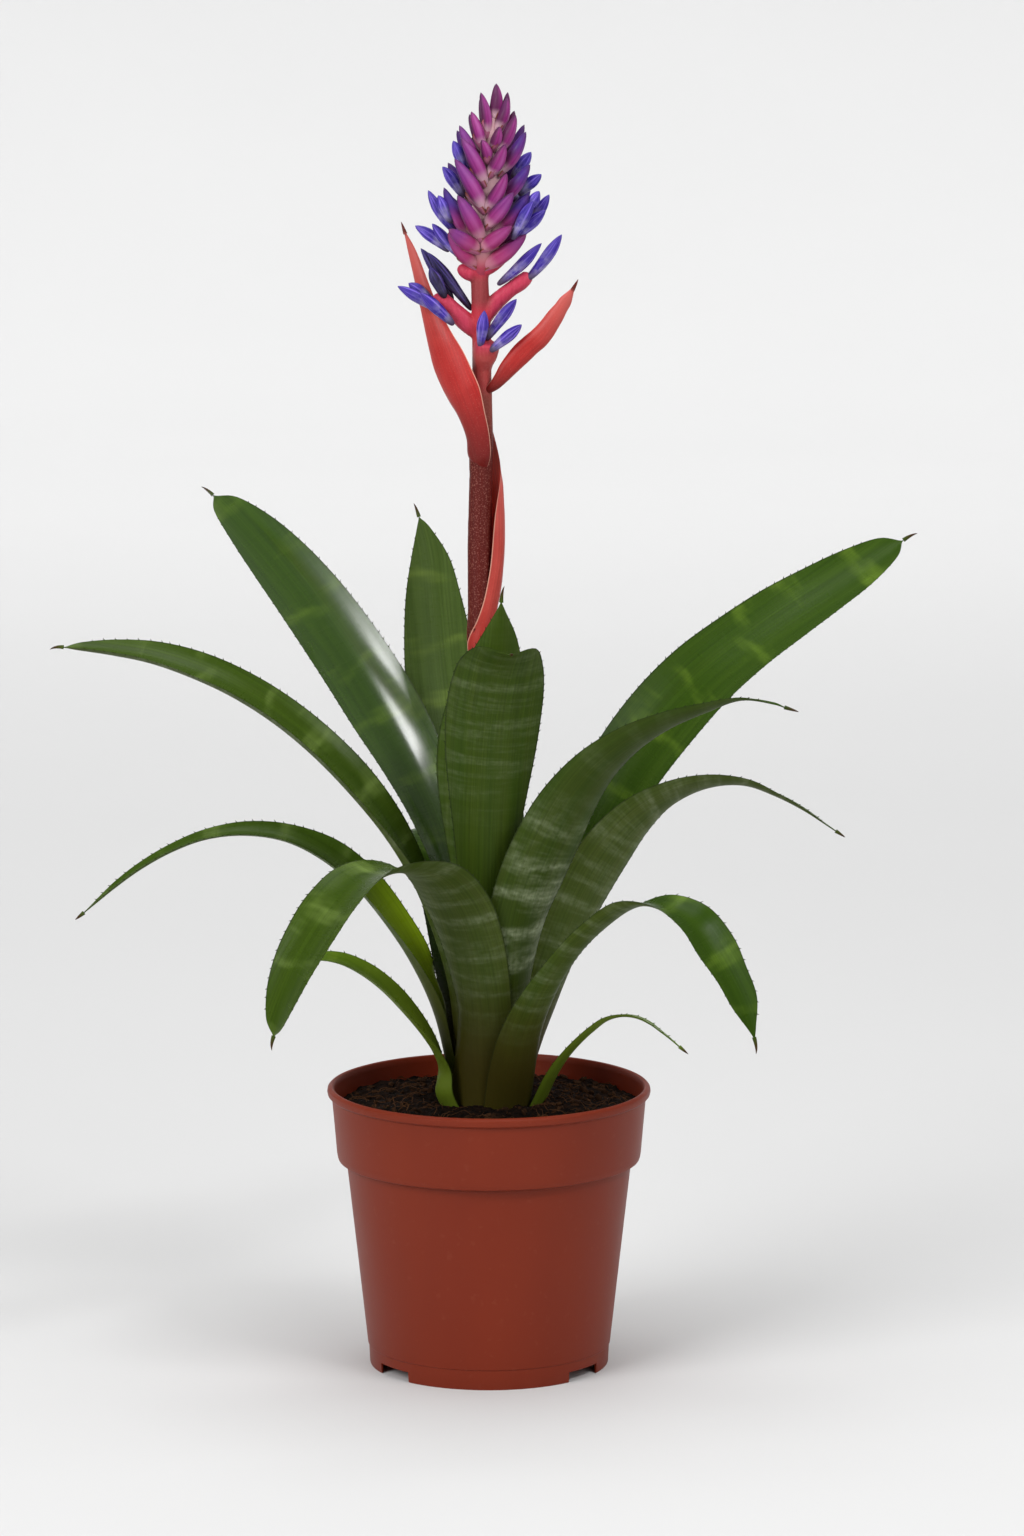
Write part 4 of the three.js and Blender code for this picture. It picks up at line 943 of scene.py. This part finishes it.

# Fresh bud skin: magenta with a soft downy bloom, nearly white with down at the foot, painted shade
# on each bud's inner side, a painted highlight down its outer middle and blue-violet at the tips of the
# outer buds; the scales are coral with a dry brown edge.
bloom, shader = finish_named("bud_skin_magenta_downy")
place = add(bloom, "TexCoord").outputs["Object"]
mark = add(bloom, "UVMap", uv_map="share").outputs[0]
share = add(bloom, "SeparateXYZ", {0: mark})
kind = add(bloom, "Attribute", attribute_name="kind").outputs["Fac"]
blue = add(bloom, "Attribute", attribute_name="blue").outputs["Fac"]
lines = add(bloom, "Mapping", {"Vector": mark, "Scale": (22, 1.6, 1)}).outputs[0]
fibre = add(bloom, "TexNoise", {"Vector": lines, "Scale": 1.0, "Detail": 3.0}).outputs[0]
down = add(bloom, "TexNoise", {"Vector": place, "Scale": 700.0, "Detail": 3.0}).outputs[0]
colour = add(bloom, "Mix", {0: fibre, 6: linear("651252"), 7: linear("a22a85")},
             data_type="RGBA").outputs[2]
# A bud's outer side is a quarter of the way round it: painted highlight down the middle, painted shade
# on the rest.
aside = add(bloom, "Math", {0: share.outputs["X"], 1: 0.25}, operation="SUBTRACT").outputs[0]
aside = add(bloom, "Math", {0: aside}, operation="ABSOLUTE").outputs[0]
# Painted shade: all but the outer quarter of each bud is darkened, where the buds turn into the head.
painted_inner_shade = add(bloom, "MapRange", {0: aside, 1: 0.1, 2: 0.24, 3: 0.0, 4: 0.8},
           interpolation_type="SMOOTHSTEP").outputs[0]
colour = add(bloom, "Mix", {0: painted_inner_shade, 6: colour, 7: linear("3c0e30")}, data_type="RGBA").outputs[2]
# Painted highlight: a pale strip down the middle of each bud's outer side.
middle = add(bloom, "MapRange", {0: aside, 1: 0.0, 2: 0.1, 3: 0.22, 4: 0.0},
             interpolation_type="SMOOTHSTEP").outputs[0]
colour = add(bloom, "Mix", {0: middle, 6: colour, 7: linear("d480c6")}, data_type="RGBA").outputs[2]
pale = add(bloom, "MapRange", {0: share.outputs["Y"], 1: 0.1, 2: 0.36, 3: 0.78, 4: 0.0},
           interpolation_type="SMOOTHSTEP").outputs[0]
colour = add(bloom, "Mix", {0: pale, 6: colour, 7: linear("dab4bc")}, data_type="RGBA").outputs[2]
top = add(bloom, "MapRange", {0: share.outputs["Y"], 1: 0.35, 2: 0.8},
          interpolation_type="SMOOTHSTEP").outputs[0]
violet = add(bloom, "Math", {0: top, 1: blue}, operation="MULTIPLY").outputs[0]
colour = add(bloom, "Mix", {0: violet, 6: colour, 7: linear("382480")}, data_type="RGBA").outputs[2]
dark = add(bloom, "MapRange", {0: share.outputs["Y"], 1: 0.84, 2: 1.0, 3: 0.0, 4: 0.7}).outputs[0]
colour = add(bloom, "Mix", {0: dark, 6: colour, 7: linear("3a1240")}, data_type="RGBA").outputs[2]
# The buds at the foot of the head are redder.
height = add(bloom, "SeparateXYZ", {0: place}).outputs["Z"]
foot = add(bloom, "MapRange", {0: height, 1: 0.512, 2: 0.538, 3: 0.6, 4: 0.0}).outputs[0]
colour = add(bloom, "Mix", {0: foot, 6: colour, 7: linear("a42c4c")}, data_type="RGBA").outputs[2]
is_scale = add(bloom, "MapRange", {0: kind, 1: 0.4, 2: 0.6}).outputs[0]
# A scale is dry and brown along its margin only.
off = add(bloom, "Math", {0: share.outputs["X"], 1: 0.5}, operation="SUBTRACT").outputs[0]
off = add(bloom, "Math", {0: off}, operation="ABSOLUTE").outputs[0]
flank = add(bloom, "MapRange", {0: off, 1: 0.34, 2: 0.48, 3: 0.0, 4: 1.0}).outputs[0]
brim = add(bloom, "MapRange", {0: share.outputs["Y"], 1: 0.7, 2: 1.0, 3: 0.0, 4: 1.0}).outputs[0]
dry = add(bloom, "Math", {0: flank, 1: brim}, operation="MAXIMUM").outputs[0]
skin = add(bloom, "Mix", {0: fibre, 6: linear("8e3a64"), 7: linear("c07a94")},
           data_type="RGBA").outputs[2]
skin = add(bloom, "Mix", {0: dry, 6: skin, 7: linear("86461f")}, data_type="RGBA").outputs[2]
colour = add(bloom, "Mix", {0: is_scale, 6: colour, 7: skin}, data_type="RGBA").outputs[2]
is_core = add(bloom, "MapRange", {0: kind, 1: 1.4, 2: 1.6}).outputs[0]
rise = add(bloom, "MapRange", {0: share.outputs["Y"], 1: 0.06, 2: 0.22}).outputs[0]
pith = add(bloom, "Mix",
           {0: rise, 6: linear("a0344a"), 7: linear("c49aa0")}, data_type="RGBA").outputs[2]
colour = add(bloom, "Mix", {0: is_core, 6: colour, 7: pith}, data_type="RGBA").outputs[2]
soft = add(bloom, "MapRange", {0: down, 1: 0.3, 2: 0.7, 3: 0.45, 4: 0.62}).outputs[0]
bump = add(bloom, "Bump", {"Height": down, "Strength": 0.25, "Distance": 0.0003}).outputs[0]
wire(bloom, shader, Base_Color=colour, Roughness=soft, Normal=bump)
shader.inputs["Specular IOR Level"].default_value = 0.3
shader.inputs["Sheen Weight"].default_value = 0.1
shader.inputs["Sheen Roughness"].default_value = 0.4
placed(head, bloom, "bud", "flower_head")


# --- The open flowers ----------------------------------------------------------------------------
# Twenty-six slim flowers on the arms, in the front cup and round the head: three violet-blue petals
# rolled into a tube, parting a little at the mouth, on a short dark calyx.
def ends_of(name):
    """The foot and the tip of a flower's CAD spindle, the tip being the end further out and up."""
    spots = np.unique(np.round([list(v.co) for v in frame["nodes"][name].data.vertices], 7), axis=0)
    far = np.linalg.norm(spots[:, None] - spots[None], axis=2)
    ends = [Vector(spots[i]) for i in np.unravel_index(far.argmax(), far.shape)]
    return sorted(ends, key=lambda p: math.hypot(p.x - HEAD_FOOT.x, p.y) + 0.7 * p.z)


def flower_finish(name, petal, lit, heart, foot):
    """Petal skin: violet-blue with pale lavender streaks, greyer at its heart and dark at the foot."""
    finish, shader = finish_named(name)
    place = add(finish, "TexCoord").outputs["Object"]
    mark = add(finish, "UVMap", uv_map="share").outputs[0]
    share = add(finish, "SeparateXYZ", {0: mark})
    lines = add(finish, "Mapping", {"Vector": mark, "Scale": (16, 0.9, 1)}).outputs[0]
    fibre = add(finish, "TexNoise", {"Vector": lines, "Scale": 1.0, "Detail": 3.0}).outputs[0]
    cloud = add(finish, "TexNoise", {"Vector": place, "Scale": 230.0, "Detail": 3.0}).outputs[0]
    pale = add(finish, "MapRange", {0: fibre, 1: 0.42, 2: 0.68},
               interpolation_type="SMOOTHSTEP").outputs[0]
    colour = add(finish, "Mix",
                 {0: pale, 6: linear(petal), 7: linear(lit)}, data_type="RGBA").outputs[2]
    belly = add(finish, "MapRange", {0: share.outputs["Y"], 1: 0.75, 2: 0.35, 3: 0.0, 4: 0.55},
                interpolation_type="SMOOTHSTEP").outputs[0]
    grey = add(finish, "MapRange", {0: cloud, 1: 0.4, 2: 0.65}).outputs[0]
    grey = add(finish, "Math", {0: grey, 1: belly}, operation="MULTIPLY").outputs[0]
    colour = add(finish, "Mix", {0: grey, 6: colour, 7: linear(heart)}, data_type="RGBA").outputs[2]
    low = add(finish, "MapRange", {0: share.outputs["Y"], 1: 0.06, 2: 0.34, 3: 0.9, 4: 0.0},
              interpolation_type="SMOOTHSTEP").outputs[0]
    colour = add(finish, "Mix", {0: low, 6: colour, 7: linear(foot)}, data_type="RGBA").outputs[2]
    tip = add(finish, "MapRange", {0: share.outputs["Y"], 1: 0.8, 2: 1.0, 3: 0.0, 4: 0.5}).outputs[0]
    colour = add(finish, "Mix", {0: tip, 6: colour, 7: linear("3a2c7c")}, data_type="RGBA").outputs[2]
    soft = add(finish, "MapRange", {0: cloud, 1: 0.3, 2: 0.7, 3: 0.42, 4: 0.56}).outputs[0]
    bump = add(finish, "Bump", {"Height": fibre, "Strength": 0.3, "Distance": 0.0003}).outputs[0]
    wire(finish, shader, Base_Color=colour, Roughness=soft, Normal=bump)
    shader.inputs["Specular IOR Level"].default_value = 0.3
    return finish


violet = flower_finish("petal_skin_violet_blue", "33208a", "7660cc", "b3aac8", "3c2c40")
night = flower_finish("petal_skin_dark_violet", "1e153c", "4e3f8a", "4a4560", "1e1220")
FLOWER_OUTLINE = [(0, 0), (0.03, 0.4), (0.14, 0.66), (0.32, 0.86), (0.5, 1.02), (0.66, 1.04),
                  (0.82, 0.76), (0.94, 0.36), (1, 0)]
FLOWER_ROOT, FLOWER_GIRTH = 3, 2.7                       # mm
for name in sorted(frame["nodes"]):
    if not name.startswith("flower_") or name in ("flower_stem", "flower_head"):
        continue
    foot, tip = ends_of(name)
    foot -= (tip - foot).normalized() * FLOWER_ROOT * MM     # down into what it grows from
    dice = random.Random(name)
    girth = FLOWER_GIRTH * MM * dice.uniform(0.92, 1.08)
    bow = dice.uniform(-0.03, 0.05)
    tube = spindle(foot, tip, FLOWER_OUTLINE, girth, 21, 3, 0.3, 0.4, bow, start=dice.uniform(0, 6))
    obj = gathered(name + "_petals", [(tube, 0.0, 1.0)])
    placed(obj, night if "dark" in name else violet, "flower", name)


# --- The floor, the light and the camera ---------------------------------------------------------
# A plain pale cove: a round floor that curves up into a wall all round, matt paint on board, lit by
# soft boxes; the size of each is in metres, its power in watts and its spread in degrees.
FLOOR_REACH, FLOOR_CURVE, WALL_TOP = 4.0, 3.0, 3.3
line = [(0.0, 0.0), (2.5, 0.0), (FLOOR_REACH, 0.0)]
line += [(FLOOR_REACH + FLOOR_CURVE * math.sin(a), FLOOR_CURVE * (1 - math.cos(a)))
         for a in np.linspace(0.08, math.pi / 2, 20)]
line += [(FLOOR_REACH + FLOOR_CURVE, WALL_TOP)]
floor = made("floor_cove", [(x, 0, z) for x, z in line], [(i, i + 1) for i in range(len(line) - 1)], [])
alone(floor)
bpy.ops.object.mode_set(mode="EDIT")
bpy.ops.mesh.select_all(action="SELECT")
bpy.ops.mesh.spin(steps=96, angle=math.tau, center=(0, 0, 0), axis=(0, 0, 1))
bpy.ops.mesh.select_all(action="SELECT")
bpy.ops.mesh.remove_doubles(threshold=1e-5)
bpy.ops.mesh.normals_make_consistent(inside=True)
bpy.ops.object.mode_set(mode="OBJECT")
for polygon in floor.data.polygons:
    polygon.use_smooth = True
board, shader = finish_named("board_matt_white_paint")
place = add(board, "TexCoord").outputs["Object"]
nap = add(board, "TexNoise", {"Vector": place, "Scale": 3.0, "Detail": 3.0}).outputs[0]
colour = add(board, "Mix", {0: nap, 6: linear("d2d2d2"), 7: linear("d4d4d4")},
             data_type="RGBA").outputs[2]
wire(board, shader, Base_Color=colour)
shader.inputs["Roughness"].default_value = 0.9
shader.inputs["Specular IOR Level"].default_value = 0.1
floor.data.materials.append(board)
floor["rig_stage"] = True

world = bpy.data.worlds.new("studio_air")
bpy.context.scene.world = world
world.use_nodes = True
world.node_tree.nodes["Background"].inputs[0].default_value = (1, 1, 1, 1)
world.node_tree.nodes["Background"].inputs[1].default_value = 0.26
AIM, STRIP_RUN = Vector((0, 0, 0.3)), Vector((0.66, 0.75, -0.07))
for name, spot, aim, size, power, spread in (
        ("key_softbox", (-2.6, -2.6, 2.4), AIM, (2.2, 2.2), 122, 180),
        ("strip_softbox", (1.2, -1.03, 1.75), AIM, (0.95, 0.2), 15, 180),
        ("fill_softbox", (1.8, -2.8, 2.0), AIM, (2.0, 2.0), 28, 180),
        ("top_softbox", (-0.1, 0.3, 2.9), AIM, (1.9, 1.9), 44, 180),
        ("backdrop_softbox", (0.0, 3.4, 3.4), Vector((0, 4.8, 0)), (7.0, 3.0), 112, 130)):
    lamp = bpy.data.lights.new(name, "AREA")
    lamp.shape, lamp.size, lamp.size_y = "RECTANGLE", *size
    lamp.energy, lamp.spread = power, math.radians(spread)
    holder = bpy.data.objects.new(name, lamp)
    bpy.context.scene.collection.objects.link(holder)
    facing = (Vector(spot) - aim).normalized()
    along = STRIP_RUN if name == "strip_softbox" else Vector((0, 0, 1)).cross(facing)
    along = (along - facing * along.dot(facing)).normalized()
    holder.rotation_euler = Matrix((along, facing.cross(along), facing)).transposed().to_euler()
    holder.location = spot

eye = bpy.data.cameras.new("camera")
eye.lens, eye.sensor_width = 139.3, 36
camera = bpy.data.objects.new("camera", eye)
bpy.context.scene.collection.objects.link(camera)
camera.location = (0.0107, -2.7, 0.71)
camera.rotation_euler = (math.radians(80.95), 0, 0)
bpy.context.scene.camera = camera
bpy.context.scene.view_settings.view_transform = "Standard"

low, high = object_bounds()
